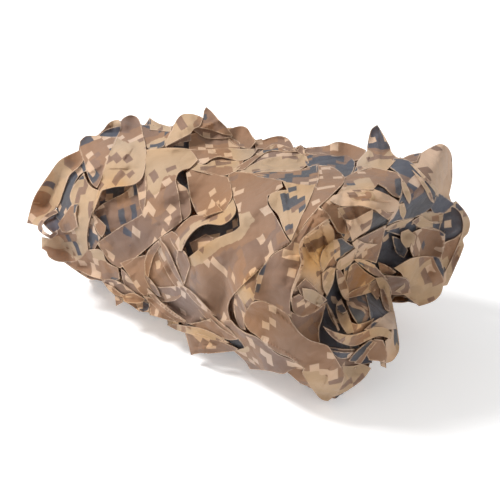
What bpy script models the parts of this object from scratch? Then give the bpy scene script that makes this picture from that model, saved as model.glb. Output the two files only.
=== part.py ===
"""Camouflage netting, loosely rolled: one wound solid with the leaf lobes that stand off it. Metres, +Z up."""
import math

import bmesh
import bpy
from mathutils import Vector

# The roll lies along X, its wide open end at +X. Angles run round it from the front (-Y) over the top (+Z).
CLOTH = 0.0024            # thickness of a leaf or a curled strip
ROOT_LIFT = -0.003        # a leaf's root lies this far under the surface that it grows from
LEAF_STEPS = (5, 3)
SLIT_DEPTH = 0.018
SLIT_LIFT = -0.004        # middle of a slit's cutter, so that it cuts 13 mm deep
SLIT_STEPS = (4, 2)
TIP_WIDTH = 0.10          # a leaf's narrowest share of its width
STEP = 0.007              # height of the outer wrap's free edge over the turn below
STEP_ANGLE = -30.0        # where that edge lies, low on the front
FLOOR_CUT = 0.0025        # the roll's underside is flattened by this much
ALONG_STEPS = 20
ROUND_STEPS = 36
SQUARENESS = 0.86         # below 1 the sections are fuller than an ellipse
END_DISH = 0.030          # how far each end of the roll is dished in
END_RINGS = ((1.0, 0.30), (0.62, 0.66))   # share of the dish and of the section, from the middle out

# along X, lowest point, centre line across, width, height
SECTIONS = (
    (-0.198, 0.040, 0.012, 0.090, 0.094),
    (-0.175, 0.016, 0.012, 0.130, 0.144),
    (-0.115, 0.000, 0.010, 0.158, 0.172),
    (-0.040, 0.000, 0.006, 0.176, 0.180),
    (0.040, 0.000, 0.002, 0.200, 0.190),
    (0.110, 0.000, -0.004, 0.228, 0.202),
    (0.162, 0.000, -0.006, 0.240, 0.206),
    (0.188, 0.006, -0.004, 0.222, 0.192),
)

# along X, angle, reach along X, reach round (degrees), height of a swell or hollow
LUMPS = (
    (-0.150, 70, 0.040, 34, 0.006),
    (-0.080, 20, 0.050, 30, -0.007),
    (-0.060, 95, 0.040, 26, 0.010),
    (0.010, 60, 0.050, 22, -0.008),
    (0.050, 110, 0.045, 24, -0.007),
    (0.100, 40, 0.060, 26, 0.009),
    (0.110, -10, 0.050, 24, -0.006),
    (0.130, 112, 0.040, 16, -0.010),
    (0.160, 140, 0.045, 24, 0.010),
    (-0.020, 160, 0.060, 30, 0.008),
    (0.060, 190, 0.050, 26, -0.009),
    (-0.110, 200, 0.050, 30, -0.006),
    (0.195, 248, 0.060, 24, -0.060),
)

# How the open rim runs out or back: end, angle, reach round (degrees), shift along X
RIM = (
    (1, 8, 52, -0.046),
    (1, 252, 30, -0.030),
    (1, 125, 50, 0.012),
    (1, 195, 30, 0.014),
    (-1, 150, 60, -0.010),
    (-1, 300, 50, 0.012),
)
RIM_REACH = 0.16          # how far along the roll the rim's shifts are felt

# The wound turns that show at an end: where, how deep, turns, outer and inner share of the section, gap
END_TURNS = (
    (1, 0.060, 2.4, 0.84, 0.30, 0.0090),
    (-1, 0.040, 1.5, 0.74, 0.30, 0.0075),
)

TURN_STEPS = 15           # steps in each turn of the gap

# Curled strips of the inner turns that stand out of the open end: centre across, centre height, first and
# last radius, first angle, sweep, where along X they start and end
CURLS = (
    (-0.054, 0.062, 0.042, 0.034, -40, 380, 0.120, 0.188),
    (-0.050, 0.064, 0.022, 0.012, 60, 400, 0.140, 0.182),
    (0.064, 0.118, 0.052, 0.042, 70, 320, 0.130, 0.200),
    (0.066, 0.118, 0.028, 0.016, 150, 380, 0.140, 0.192),
)

CURL_STEP = 27            # degrees between a curl's folds
CURL_WAVE = 0.003
CURL_LEAN = 0.010         # a curl's end runs further out at the back than at the front

# A leaf: root along X, root angle, heading (0 to +X, 90 over the top to the back), length, width,
# bend of its midline (degrees), point (1 sharp, 0.4 blunt), lift of belly and tip, lift of its long edges
LEAVES = (
    (-0.165, 10, 190, 0.054, 0.072, -24, 0.6, 0.006, 0.008, 0.000),
    (-0.150, 6, 196, 0.056, 0.058, 20, 0.5, 0.006, 0.010, 0.001),
    (-0.125, 30, 250, 0.064, 0.046, 14, 0.8, 0.009, 0.006, 0.002),
    (-0.150, 92, 276, 0.058, 0.044, -12, 0.9, 0.008, 0.006, 0.001),
    (-0.128, 82, 74, 0.050, 0.034, 30, 0.5, 0.012, 0.018, -0.002),
    (-0.086, 92, 258, 0.080, 0.056, -16, 1.1, 0.010, 0.006, 0.003),
    (-0.046, 44, 214, 0.104, 0.070, 18, 0.8, 0.011, 0.005, 0.002),
    (-0.030, 78, 262, 0.064, 0.046, 10, 0.8, 0.010, 0.009, 0.003),
    (-0.088, 84, 42, 0.074, 0.046, -30, 0.7, 0.030, 0.010, -0.006),
    (-0.020, 106, 160, 0.044, 0.026, 20, 1.3, 0.012, 0.030, 0.000),
    (0.010, 100, 30, 0.060, 0.040, 30, 0.6, 0.014, 0.012, -0.003),
    (0.060, 104, 60, 0.052, 0.036, 30, 0.5, 0.012, 0.012, -0.003),
    (0.044, 62, 264, 0.120, 0.054, 12, 0.7, 0.009, 0.006, 0.002),
    (0.062, 76, 250, 0.066, 0.052, -20, 1.0, 0.010, 0.008, 0.002),
    (0.094, 92, 254, 0.096, 0.044, 14, 1.0, 0.012, 0.008, 0.003),
    (0.100, 76, 330, 0.078, 0.050, 10, 0.8, 0.012, 0.014, -0.002),
    (0.122, 56, 300, 0.056, 0.044, -20, 0.9, 0.010, 0.012, 0.003),
    (0.082, 34, 312, 0.072, 0.050, 30, 0.8, 0.012, 0.014, 0.002),
    (0.064, -8, 328, 0.122, 0.062, 12, 0.7, 0.009, 0.003, 0.002),
    (0.046, -16, 306, 0.058, 0.050, -14, 0.7, 0.007, 0.005, 0.001),
    (0.020, -24, 262, 0.040, 0.046, 10, 1.2, 0.010, 0.018, 0.000),
    (-0.006, -22, 200, 0.042, 0.022, 10, 1.2, 0.008, 0.014, 0.000),
    (-0.060, 6, 250, 0.056, 0.050, 16, 0.8, 0.010, 0.006, 0.002),
    (-0.095, -4, 240, 0.050, 0.046, 10, 0.7, 0.009, 0.005, 0.002),
    (0.122, 108, 104, 0.050, 0.032, 10, 1.4, 0.014, 0.038, 0.000),
    (0.160, 102, 84, 0.056, 0.050, 10, 0.4, 0.016, 0.030, -0.002),
    (0.142, 94, 312, 0.056, 0.052, 20, 0.8, 0.010, 0.008, 0.002),
    (0.168, 128, 12, 0.038, 0.050, 20, 0.5, 0.010, 0.014, 0.002),
    (0.166, 176, 4, 0.036, 0.056, -20, 0.5, 0.008, 0.012, 0.001),
)
# A slit: root along X, root angle, heading, length, width, bend, point
SLITS = (
    (-0.140, 46, 330, 0.050, 0.034, -20, 0.7),
    (-0.152, 22, 280, 0.036, 0.010, 0, 0.8),
    (-0.058, 66, 280, 0.026, 0.012, 0, 0.8),
    (0.040, 38, 196, 0.066, 0.024, 40, 0.8),
    (0.052, 6, 262, 0.044, 0.018, 20, 0.8),
    (0.050, -34, 350, 0.026, 0.014, 0, 0.6),
    (0.120, 92, 340, 0.024, 0.012, 0, 0.8),
    (0.104, 42, 286, 0.060, 0.030, 10, 0.8),
    (-0.020, 88, 10, 0.034, 0.009, 10, 0.8),
    (-0.086, 98, 356, 0.026, 0.010, 0, 0.8),
)

# More of the same cut on the side away from the front: count, length, width
BACK_LEAVES = (10, 0.070, 0.050)
BACK_SLITS = (5, 0.045, 0.018)
BACK_LIFTS = (0.010, 0.010, 0.002)


def between_rows(rows, x):
    """The row of a table at x, eased between the two rows on each side of it."""
    if x <= rows[0][0]:
        return rows[0][1:]
    for near, far in zip(rows, rows[1:]):
        if x <= far[0]:
            t = (x - near[0]) / (far[0] - near[0])
            t = t * t * (3 - 2 * t) * 0.5 + t * 0.5
            return [a + (b - a) * t for a, b in zip(near[1:], far[1:])]
    return rows[-1][1:]


def round_gap(angle, other):
    """Degrees between two angles, the short way round."""
    return (angle - other + 180) % 360 - 180


def on_roll(x, angle, out=0.0):
    """The point on the wound surface at x and angle (degrees), moved out from it."""
    low, middle, width, height = between_rows(SECTIONS, x)
    turn = math.radians(angle)
    across, up = math.cos(turn), math.sin(turn)
    across = math.copysign(abs(across) ** SQUARENESS, across)
    up = math.copysign(abs(up) ** SQUARENESS, up)
    for lump_x, lump_angle, reach_x, reach_round, rise in LUMPS:
        far = ((x - lump_x) / reach_x) ** 2 + (round_gap(angle, lump_angle) / reach_round) ** 2
        out += rise * math.exp(-far)
    out += STEP * (((angle - STEP_ANGLE) % 360) / 360 - 0.5)
    ray = Vector((0, -across * width / 2, up * height / 2))
    ray += ray.normalized() * out
    return Vector((x + rim_shift(x, angle), middle, low + height / 2)) + ray


def rim_shift(x, angle):
    """How far the surface is pulled along X by the uneven rims of the two ends."""
    shift = 0.0
    for end, rim_angle, reach_round, far in RIM:
        edge = SECTIONS[0][0] if end < 0 else SECTIONS[-1][0]
        near = max(0.0, 1 - abs(edge - x) / RIM_REACH)
        shift += far * near * near * math.exp(-(round_gap(angle, rim_angle) / reach_round) ** 2)
    return shift


def mesh_object(name, mesh, collection):
    thing = bpy.data.objects.new(name, mesh)
    collection.objects.link(thing)
    return thing


def wound_body(collection):
    """The roll as a loft of its sections, with the outer wrap's edge as a step and both ends dished."""
    body = bmesh.new()
    first, last = SECTIONS[0][0], SECTIONS[-1][0]
    rings = []
    for dish, size in END_RINGS:
        rings.append((first, dish * END_DISH, size))
    for step in range(ALONG_STEPS + 1):
        rings.append((first + (last - first) * step / ALONG_STEPS, 0.0, 1.0))
    for dish, size in reversed(END_RINGS):
        rings.append((last, -dish * END_DISH, size))
    made = []
    for x, inward, size in rings:
        low, middle, width, height = between_rows(SECTIONS, x)
        centre = Vector((x, middle, low + height / 2))
        ring = []
        for k in range(ROUND_STEPS):
            angle = STEP_ANGLE + 359.2 * k / (ROUND_STEPS - 1) + 0.2
            place = centre + (on_roll(x, angle) - centre) * size
            ring.append(body.verts.new(place + Vector((inward, 0, 0))))
        made.append(ring)
    for ring, following in zip(made, made[1:]):
        for k in range(ROUND_STEPS):
            n = (k + 1) % ROUND_STEPS
            body.faces.new((ring[k], ring[n], following[n], following[k]))
    body.faces.new(made[0])
    body.faces.new(made[-1])
    bmesh.ops.recalc_face_normals(body, faces=body.faces)
    mesh = bpy.data.meshes.new("wound_body")
    body.to_mesh(mesh)
    body.free()
    return mesh_object("wound_body", mesh, collection)


def solid_of(thing):
    """The object with its modifiers applied."""
    seen = thing.evaluated_get(bpy.context.evaluated_depsgraph_get())
    mesh = bpy.data.meshes.new_from_object(seen)
    thing.modifiers.clear()
    thing.data = mesh
    return thing


def leaf(name, row, collection, steps, thickness):
    """A tongue of cloth that follows the roll from its root, rises to its lifts and curls at its edges."""
    x, angle, heading, length, width, bend, point, root, belly, tip, edge = row
    grid = bmesh.new()
    bmesh.ops.create_grid(grid, x_segments=steps[0], y_segments=steps[1], size=0.5)
    place = {}
    for k in range(steps[0] + 1):
        t = k / steps[0]
        turn = math.radians(heading + bend * (t - 0.5))
        if k:
            x += math.cos(turn) * length / steps[0]
            angle += math.degrees(math.sin(turn) * length / steps[0] / reach(x, angle))
        half = width / 2 * max(TIP_WIDTH, math.sin(math.pi * (0.2 + 0.8 * t)) ** point)
        lift = root * (1 - t) ** 2 + 2 * belly * t * (1 - t) + tip * t ** 2
        place[k] = (x, angle, turn, half, lift)
    for vert in grid.verts:
        k = round((vert.co.x + 0.5) * steps[0])
        side = vert.co.y * 2
        x, angle, turn, half, lift = place[k]
        over_x = x - math.sin(turn) * half * side
        over_angle = angle + math.degrees(math.cos(turn) * half * side / reach(x, angle))
        vert.co = on_roll(over_x, over_angle, lift + edge * side * side * min(1, 2 * k / steps[0]))
    mesh = bpy.data.meshes.new(name)
    grid.to_mesh(mesh)
    grid.free()
    thing = mesh_object(name, mesh, collection)
    wall = thing.modifiers.new("thickness", "SOLIDIFY")
    wall.thickness = thickness
    wall.offset = 0
    return solid_of(thing)


def reach(x, angle):
    """Distance from the roll's centre line to its surface."""
    low, middle, width, height = between_rows(SECTIONS, x)
    return (on_roll(x, angle) - Vector((x, middle, low + height / 2))).length


def end_turns(row, collection):
    """A spiral cutter that leaves the roll's wound layers standing at one end."""
    end, depth, turns, outer, inner, gap = row
    x = SECTIONS[0][0] if end < 0 else SECTIONS[-1][0]
    low, middle, width, height = between_rows(SECTIONS, x)
    centre = Vector((x, middle, low + height / 2))
    steps = int(turns * TURN_STEPS)
    ribbon = bmesh.new()
    rails = []
    for k in range(steps + 1):
        t = k / steps
        angle = STEP_ANGLE + 40 + 360 * turns * t
        size = outer + (inner - outer) * t + 0.025 * math.sin(3.1 * t * turns)
        place = centre + (on_roll(x, angle) - centre) * size
        rails.append([ribbon.verts.new(place + Vector((end * far, 0, 0))) for far in (-depth, 0.03)])
    for near, far in zip(rails, rails[1:]):
        ribbon.faces.new((near[0], near[1], far[1], far[0]))
    mesh = bpy.data.meshes.new("end_turns")
    ribbon.to_mesh(mesh)
    ribbon.free()
    thing = mesh_object("end_turns", mesh, collection)
    wall = thing.modifiers.new("gap", "SOLIDIFY")
    wall.thickness = gap
    wall.offset = 0
    return solid_of(thing)


def curl(row, collection):
    """A strip of an inner turn, curled as a loose spiral that narrows as it goes round."""
    across, height, first, last, start, sweep, x_from, x_to = row
    steps = int(sweep / CURL_STEP)
    strip = bmesh.new()
    rails = []
    for k in range(steps + 1):
        t = k / steps
        turn = math.radians(start + sweep * t)
        size = first + (last - first) * t + CURL_WAVE * math.sin(2.3 * turn)
        y, z = across - size * math.cos(turn), height + size * math.sin(turn)
        rails.append([strip.verts.new((x - CURL_LEAN * math.cos(turn), y, z)) for x in (x_from, x_to)])
    for near, far in zip(rails, rails[1:]):
        strip.faces.new((near[0], near[1], far[1], far[0]))
    mesh = bpy.data.meshes.new("curl")
    strip.to_mesh(mesh)
    strip.free()
    thing = mesh_object("curl", mesh, collection)
    wall = thing.modifiers.new("thickness", "SOLIDIFY")
    wall.thickness = CLOTH
    wall.offset = 0
    return solid_of(thing)


def back_rows(count, length, width):
    """Rows for the side that faces away, spread by fixed steps along and round the roll."""
    rows = []
    for k in range(count):
        x = -0.155 + 0.31 * k / (count - 1)
        angle = 138 + (k * 67) % 92
        heading = 20 + (k * 131) % 300
        size = 0.8 + 0.04 * ((k * 37) % 10)
        rows.append((x, angle, heading, length * size, width * size, 20 - (k * 29) % 40, 0.7))
    return rows


def floor_cutter(collection):
    cut = bmesh.new()
    bmesh.ops.create_cube(cut, size=1.0)
    for vert in cut.verts:
        vert.co.z -= 0.5
    mesh = bpy.data.meshes.new("floor")
    cut.to_mesh(mesh)
    cut.free()
    return mesh_object("floor", mesh, collection)


def combine(thing, operation, collection):
    """Joins to the object, or takes from it, everything in a collection."""
    boolean = thing.modifiers.new(operation.lower(), "BOOLEAN")
    boolean.operation = operation
    boolean.operand_type = "COLLECTION"
    boolean.collection = collection
    boolean.solver = "EXACT"
    bpy.context.view_layer.update()
    solid_of(thing)
    for tool in list(collection.objects):
        bpy.data.objects.remove(tool)


def keep_main_body(thing):
    """Drops the crumbs and closed pockets that the joins leave."""
    body = bmesh.new()
    body.from_mesh(thing.data)
    bmesh.ops.triangulate(body, faces=body.faces)
    waiting = set(body.faces)
    groups = []
    while waiting:
        group, edge = [], [waiting.pop()]
        while edge:
            face = edge.pop()
            group.append(face)
            for link in face.edges:
                if len(link.link_faces) != 2:
                    continue
                for other in link.link_faces:
                    if other in waiting:
                        waiting.discard(other)
                        edge.append(other)
        groups.append(group)
    groups.sort(key=len)
    for group in groups[:-1]:
        bmesh.ops.delete(body, geom=group, context="FACES")
    body.to_mesh(thing.data)
    body.free()


def cloth_material():
    material = bpy.data.materials.new("camouflage_cloth")
    material.use_nodes = True
    shader = material.node_tree.nodes["Principled BSDF"]
    shader.inputs["Base Color"].default_value = (0.38, 0.26, 0.18, 1)
    shader.inputs["Roughness"].default_value = 0.8
    shader.inputs["Metallic"].default_value = 0.0
    return material


for old in list(bpy.data.objects):
    bpy.data.objects.remove(old)
netting = bpy.data.collections.new("camouflage_netting")
tools = bpy.data.collections.new("tools")
for group in (netting, tools):
    bpy.context.scene.collection.children.link(group)

roll = wound_body(netting)
for row in END_TURNS:
    end_turns(row, tools)
for row in list(SLITS) + back_rows(*BACK_SLITS):
    leaf("slit", row + (SLIT_LIFT, SLIT_LIFT, SLIT_LIFT, 0), tools, SLIT_STEPS, SLIT_DEPTH)
combine(roll, "DIFFERENCE", tools)
back = [row + BACK_LIFTS for row in back_rows(*BACK_LEAVES)]
for row in list(LEAVES) + back:
    leaf("leaf", row[:7] + (ROOT_LIFT,) + row[7:], tools, LEAF_STEPS, CLOTH)
for row in CURLS:
    curl(row, tools)
combine(roll, "UNION", tools)
roll.location.z = -FLOOR_CUT
floor_cutter(tools)
combine(roll, "DIFFERENCE", tools)
keep_main_body(roll)
roll.name = "net_roll"
roll.data.name = "net_roll"
roll.data.materials.append(cloth_material())
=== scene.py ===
"""The rolled camouflage netting as it lies in the photograph, dressed on its solid. Metres, +Z up."""
import math

import bmesh
import bpy
import numpy as np
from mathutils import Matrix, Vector, noise
from mathutils.bvhtree import BVHTree
from mathutils.geometry import delaunay_2d_cdt


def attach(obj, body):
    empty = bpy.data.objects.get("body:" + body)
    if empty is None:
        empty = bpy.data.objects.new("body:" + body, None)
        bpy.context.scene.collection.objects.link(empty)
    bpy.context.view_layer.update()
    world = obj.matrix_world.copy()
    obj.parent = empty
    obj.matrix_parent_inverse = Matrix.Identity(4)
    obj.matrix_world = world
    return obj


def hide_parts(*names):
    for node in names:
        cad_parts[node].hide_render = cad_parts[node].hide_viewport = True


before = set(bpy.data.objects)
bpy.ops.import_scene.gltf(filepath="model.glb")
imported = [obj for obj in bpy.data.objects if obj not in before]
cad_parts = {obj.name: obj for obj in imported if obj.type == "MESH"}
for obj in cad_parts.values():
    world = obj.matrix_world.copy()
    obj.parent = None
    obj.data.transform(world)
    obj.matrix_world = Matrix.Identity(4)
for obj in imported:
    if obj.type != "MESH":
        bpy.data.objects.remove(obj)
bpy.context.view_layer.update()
bpy.ops.object.select_all(action="DESELECT")

# The photographer's place: a table-top picture from a little above, with the roll's wide end towards the
# camera. It comes first, because the leaves that face it are laid out by their places in the photograph.
PHOTO_SIDE = 500
CAMERA_AZIMUTH = math.radians(32)
CAMERA_ELEVATION = math.radians(30)
CAMERA_DISTANCE = 1.5
CAMERA_LENS = 108.0
CAMERA_SENSOR = 36.0
CAMERA_AIM = Vector((0.018, 0.006, 0.083))

flat_out = math.cos(CAMERA_ELEVATION)
towards_camera = Vector((math.sin(CAMERA_AZIMUTH) * flat_out, -math.cos(CAMERA_AZIMUTH) * flat_out,
                         math.sin(CAMERA_ELEVATION)))
camera = bpy.data.objects.new("photo_camera", bpy.data.cameras.new("photo_camera"))
bpy.context.scene.collection.objects.link(camera)
camera.data.lens = CAMERA_LENS
camera.data.sensor_width = CAMERA_SENSOR
camera.location = CAMERA_AIM + towards_camera * CAMERA_DISTANCE
camera_turn = (-towards_camera).to_track_quat("-Z", "Y")
camera.rotation_euler = camera_turn.to_euler()
bpy.context.scene.camera = camera
camera_eye = camera.location.copy()


def sight_line(column, row):
    """The direction in which the camera sees a point of the photograph."""
    scale = CAMERA_SENSOR / CAMERA_LENS / PHOTO_SIDE
    ahead = Vector(((column - PHOTO_SIDE / 2) * scale, (PHOTO_SIDE / 2 - row) * scale, -1))
    return (camera_turn @ ahead).normalized()


# The cloth's print and finish: a thin plain-woven polyester, printed in a digital pattern of sand, tan, brown
# and blue-black squares. The pattern is a generic one, made of noise snapped to the print's squares.
SQUARE = 0.0076
PRINT_COLOURS = {
    "night": (0.078, 0.082, 0.096),
    "brown": (0.238, 0.147, 0.102),
    "tan": (0.290, 0.166, 0.098),
    "sand": (0.468, 0.327, 0.203),
    "pale": (0.575, 0.405, 0.278),
}
PRINT_STEPS = ((0.20, "brown"), (0.40, "tan"), (0.63, "sand"), (0.97, "pale"))    # from blue-black upwards
NIGHT_BELOW = 0.215       # how much of the print is blue-black on a leaf with no share of dark squares
PALE_ABOVE = 0.715
BROWN_BELOW = 0.285
UNDERLIGHT = (0.78, 0.44, 0.18)       # the colour of light that comes through the cloth, and its share
UNDERLIGHT_SHARE = 0.22
# The colour shift of the painted glow of light through the shaded folds, which also carries the cloth's own
# drift in hue.
GLOW_AND_HUE_TINT = (0.04, -0.10, -0.34)
THREAD = 0.0007
CRUMPLE_DEPTH = 0.003


class Dye:
    """A socket of a material, on which Python's operators add Math nodes."""

    def __init__(self, tree, socket):
        self.tree = tree
        self.socket = socket

    def math(self, operation, first, second=None):
        node = self.tree.nodes.new("ShaderNodeMath")
        node.operation = operation
        for slot, value in enumerate((first, second)):
            if isinstance(value, Dye):
                self.tree.links.new(value.socket, node.inputs[slot])
            elif value is not None:
                node.inputs[slot].default_value = value
        return Dye(self.tree, node.outputs[0])

    def __add__(self, other):
        return self.math("ADD", self, other)

    def __sub__(self, other):
        return self.math("SUBTRACT", self, other)

    def __rsub__(self, other):
        return self.math("SUBTRACT", other, self)

    def __mul__(self, other):
        return self.math("MULTIPLY", self, other)

    def __gt__(self, other):
        return self.math("GREATER_THAN", self, other)

    def __lt__(self, other):
        return self.math("LESS_THAN", self, other)

    __radd__ = __add__
    __rmul__ = __mul__

    def node(self, kind, settings=None, output=0, **values):
        """Any other node: its settings first, then the values or links of its sockets, by name."""
        node = self.tree.nodes.new(kind)
        for name, value in (settings or {}).items():
            setattr(node, name, value)
        for name, value in values.items():
            found = [s for s in node.inputs if s.name.replace(" ", "_") == name and s.enabled]
            if isinstance(value, Dye):
                self.tree.links.new(value.socket, found[0])
            else:
                found[0].default_value = value
        return Dye(self.tree, node.outputs[output])


def printed_cloth(name):
    """The camouflage cloth. The piece's UV map is in metres of cloth. Its tone attribute says where the print
    lies between blue-black (0) and sand (1), and in places it also carries painted light and shade. Dark says
    how many squares are blue-black. Fray says how far the pale edge shows: partly the bare threads, partly a
    painted highlight along the edges. The last attribute says how much warmer the colour is painted: partly a
    painted glow of light through the shaded folds, partly the cloth's own hue."""
    material = bpy.data.materials.new(name)
    material.use_nodes = True
    tree = material.node_tree
    shader = tree.nodes["Principled BSDF"]
    uv = tree.nodes.new("ShaderNodeUVMap")
    uv.uv_map = "cloth"
    cloth = Dye(tree, uv.outputs["UV"])

    def leaf_value(attribute):
        node = tree.nodes.new("ShaderNodeAttribute")
        node.attribute_name = attribute
        return Dye(tree, node.outputs["Fac"])

    tone, darkness, fray, glow_and_hue_shift = (leaf_value(name) for name in ("tone", "dark", "fray", "glow_and_hue"))
    squares = cloth.node("ShaderNodeVectorMath", {"operation": "SCALE"}, Vector=cloth, Scale=1 / SQUARE)
    squares = cloth.node("ShaderNodeVectorMath", {"operation": "FLOOR"}, Vector=squares)

    def blotch(scale, shift, detail=1.0):
        moved = cloth.node("ShaderNodeMapping", Vector=squares, Location=(shift, shift * 1.7, 0))
        return cloth.node("ShaderNodeTexNoise", {"noise_dimensions": "2D"}, Vector=moved, Scale=scale,
                          Detail=detail, Roughness=0.55)

    def scatter(shift):
        moved = cloth.node("ShaderNodeMapping", Vector=squares, Location=(shift, shift * 2.3, 0))
        return cloth.node("ShaderNodeTexWhiteNoise", {"noise_dimensions": "2D"}, Vector=moved)

    def mixed(factor, under, over):
        node = tree.nodes.new("ShaderNodeMix")
        node.data_type = "RGBA"
        tree.links.new(factor.socket, node.inputs["Factor"])
        for slot, colour in (("A", under), ("B", over)):
            socket = [s for s in node.inputs if s.name == slot and s.type == "RGBA"][0]
            if isinstance(colour, Dye):
                tree.links.new(colour.socket, socket)
            else:
                socket.default_value = PRINT_COLOURS[colour] + (1,)
        return Dye(tree, [s for s in node.outputs if s.type == "RGBA"][0])

    ground = tone + 0.48 * (blotch(0.115, 13.5) - 0.5) + 0.06 * (scatter(3.5) - 0.5)
    colour = "night"
    for start, ink in PRINT_STEPS:
        colour = mixed(ground > start, colour, ink)
    light = blotch(0.50, 71.5, 0.0) + 0.30 * (scatter(9.5) - 0.5)
    colour = mixed((light > PALE_ABOVE) * (ground < 0.66), colour, "pale")
    spots = blotch(0.45, 40.5, 0.0) + 0.30 * (scatter(6.5) - 0.5)
    colour = mixed((spots < BROWN_BELOW) * (ground > 0.60), colour, "brown")
    night = blotch(0.26, 95.5) + 0.22 * (scatter(1.5) - 0.5) - 0.30 * darkness
    colour = mixed(night < NIGHT_BELOW, colour, "night")
    threads = cloth.node("ShaderNodeTexNoise", Vector=cloth, Scale=1 / THREAD, Detail=0.0)
    fray_and_highlight_patches = cloth.node("ShaderNodeTexNoise", Vector=cloth, Scale=90.0, Detail=0.0)
    # Pale edge: the bare threads of the cut edge and, partly, a painted highlight where the edges catch the
    # light, broken into patches.
    colour = mixed((fray > 0.52 + 0.22 * threads) * (1.9 * fray_and_highlight_patches - 0.30), colour, "pale")
    fade = cloth.node("ShaderNodeTexNoise", Vector=cloth, Scale=26.0, Detail=2.0)
    faded = 0.86 + 0.26 * fade
    colour = cloth.node("ShaderNodeVectorMath", {"operation": "SCALE"}, Vector=colour, Scale=faded)
    # Painted glow: the colour is shifted warmer where light would come through the cloth in its shaded folds
    # and pockets, together with the cloth's own slow drift in hue.
    drift = cloth.node("ShaderNodeTexNoise", Vector=cloth, Scale=17.0, Detail=0.0)
    tint = tree.nodes.new("ShaderNodeVectorMath")
    tint.operation = "SCALE"
    tint.inputs[0].default_value = GLOW_AND_HUE_TINT
    tree.links.new((glow_and_hue_shift + 1.2 * (drift - 0.5)).socket, tint.inputs["Scale"])
    tinted = tree.nodes.new("ShaderNodeVectorMath")
    tinted.operation = "MULTIPLY_ADD"
    for slot, source in enumerate((colour.socket, tint.outputs[0], colour.socket)):
        tree.links.new(source, tinted.inputs[slot])
    tree.links.new(tinted.outputs[0], shader.inputs["Base Color"])

    crumple = cloth.node("ShaderNodeTexNoise", Vector=cloth, Scale=75.0, Detail=3.0, Roughness=0.5)
    creases = cloth.node("ShaderNodeTexNoise", Vector=cloth, Scale=38.0, Detail=1.0) - 0.5
    height = crumple * 0.8 + threads * 0.10 + creases.math("ABSOLUTE", creases) * 2.4
    bump = tree.nodes.new("ShaderNodeBump")
    bump.inputs["Strength"].default_value = 0.75
    bump.inputs["Distance"].default_value = CRUMPLE_DEPTH
    tree.links.new(height.socket, bump.inputs["Height"])
    tree.links.new(bump.outputs["Normal"], shader.inputs["Normal"])
    shader.inputs["Roughness"].default_value = 0.72
    shader.inputs["Specular IOR Level"].default_value = 0.3
    shader.inputs["Sheen Weight"].default_value = 0.15

    through = tree.nodes.new("ShaderNodeBsdfTranslucent")
    through.inputs["Color"].default_value = UNDERLIGHT + (1,)
    blend = tree.nodes.new("ShaderNodeMixShader")
    blend.inputs["Fac"].default_value = UNDERLIGHT_SHARE
    tree.links.new(shader.outputs[0], blend.inputs[1])
    tree.links.new(through.outputs[0], blend.inputs[2])
    tree.links.new(blend.outputs[0], tree.nodes["Material Output"].inputs["Surface"])
    return material


def cut_edge(name):
    """The heat-cut edge of a leaf, where the bare threads show lighter than the print."""
    material = bpy.data.materials.new(name)
    material.use_nodes = True
    tree = material.node_tree
    shader = tree.nodes["Principled BSDF"]
    place = Dye(tree, tree.nodes.new("ShaderNodeTexCoord").outputs["Object"])
    fray = place.node("ShaderNodeTexNoise", Vector=place, Scale=300.0, Detail=1.0)
    mix = tree.nodes.new("ShaderNodeMix")
    mix.data_type = "RGBA"
    tree.links.new(fray.socket, mix.inputs["Factor"])
    mix.inputs[6].default_value = PRINT_COLOURS["brown"] + (1,)
    mix.inputs[7].default_value = PRINT_COLOURS["sand"] + (1,)
    tree.links.new(mix.outputs[2], shader.inputs["Base Color"])
    shader.inputs["Roughness"].default_value = 0.8
    return material


camouflage = printed_cloth("camouflage_cloth")
edge_finish = cut_edge("cut_edge")
CLOTH = 0.0007            # the cloth with its print, a little thicker than real so that its edges hold


def sheet_piece(name, grid):
    """Makes a piece of the net of an open mesh: its two sides, its cut edges and its materials."""
    area = sum(face.calc_area() for face in grid.faces)
    mesh = bpy.data.meshes.new(name)
    grid.to_mesh(mesh)
    grid.free()
    piece = bpy.data.objects.new(name, mesh)
    bpy.context.scene.collection.objects.link(piece)
    mesh.materials.append(camouflage)
    mesh.materials.append(edge_finish)
    wall = piece.modifiers.new("thickness", "SOLIDIFY")
    wall.thickness = CLOTH
    wall.offset = 0
    wall.material_offset_rim = 1
    bpy.context.view_layer.objects.active = piece
    bpy.ops.object.modifier_apply(modifier="thickness")
    mesh.shade_smooth()
    mesh.set_sharp_from_angle(angle=math.radians(34))
    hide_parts("net_roll")
    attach(piece, "root")
    side = math.sqrt(area / 0.9)


# The leaves that face the camera: polyester cloth, slit with a hot cutter into leaves that stay joined to it
# by their roots, so each turn is a layer of curled tongues over the next. They are laid on the roll as the
# photograph shows them, each by its own outline.
FINE = 1.9                # pixels between a leaf's points
GRID = 4                  # pixels between the sight lines that feel the solid
CORNER = 48               # degrees: a sharper turn of an outline stays a corner
HOLLOW = 2.0              # millimetres by which a leaf's middle lies lower than its edges
ROLL_UP = 5               # millimetres by which a leaf as a whole may be bent
LAYER = 1.25              # how much the tables' heights are stretched
FACETS = ((28, 12.0), (13, 5.5), (6, 1.8))  # pixels between the corners of flat facets, and their heights

DROP = 1.4                # pixels across which a fold's steep side drops
SMALL_FOLDS = 150

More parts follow.
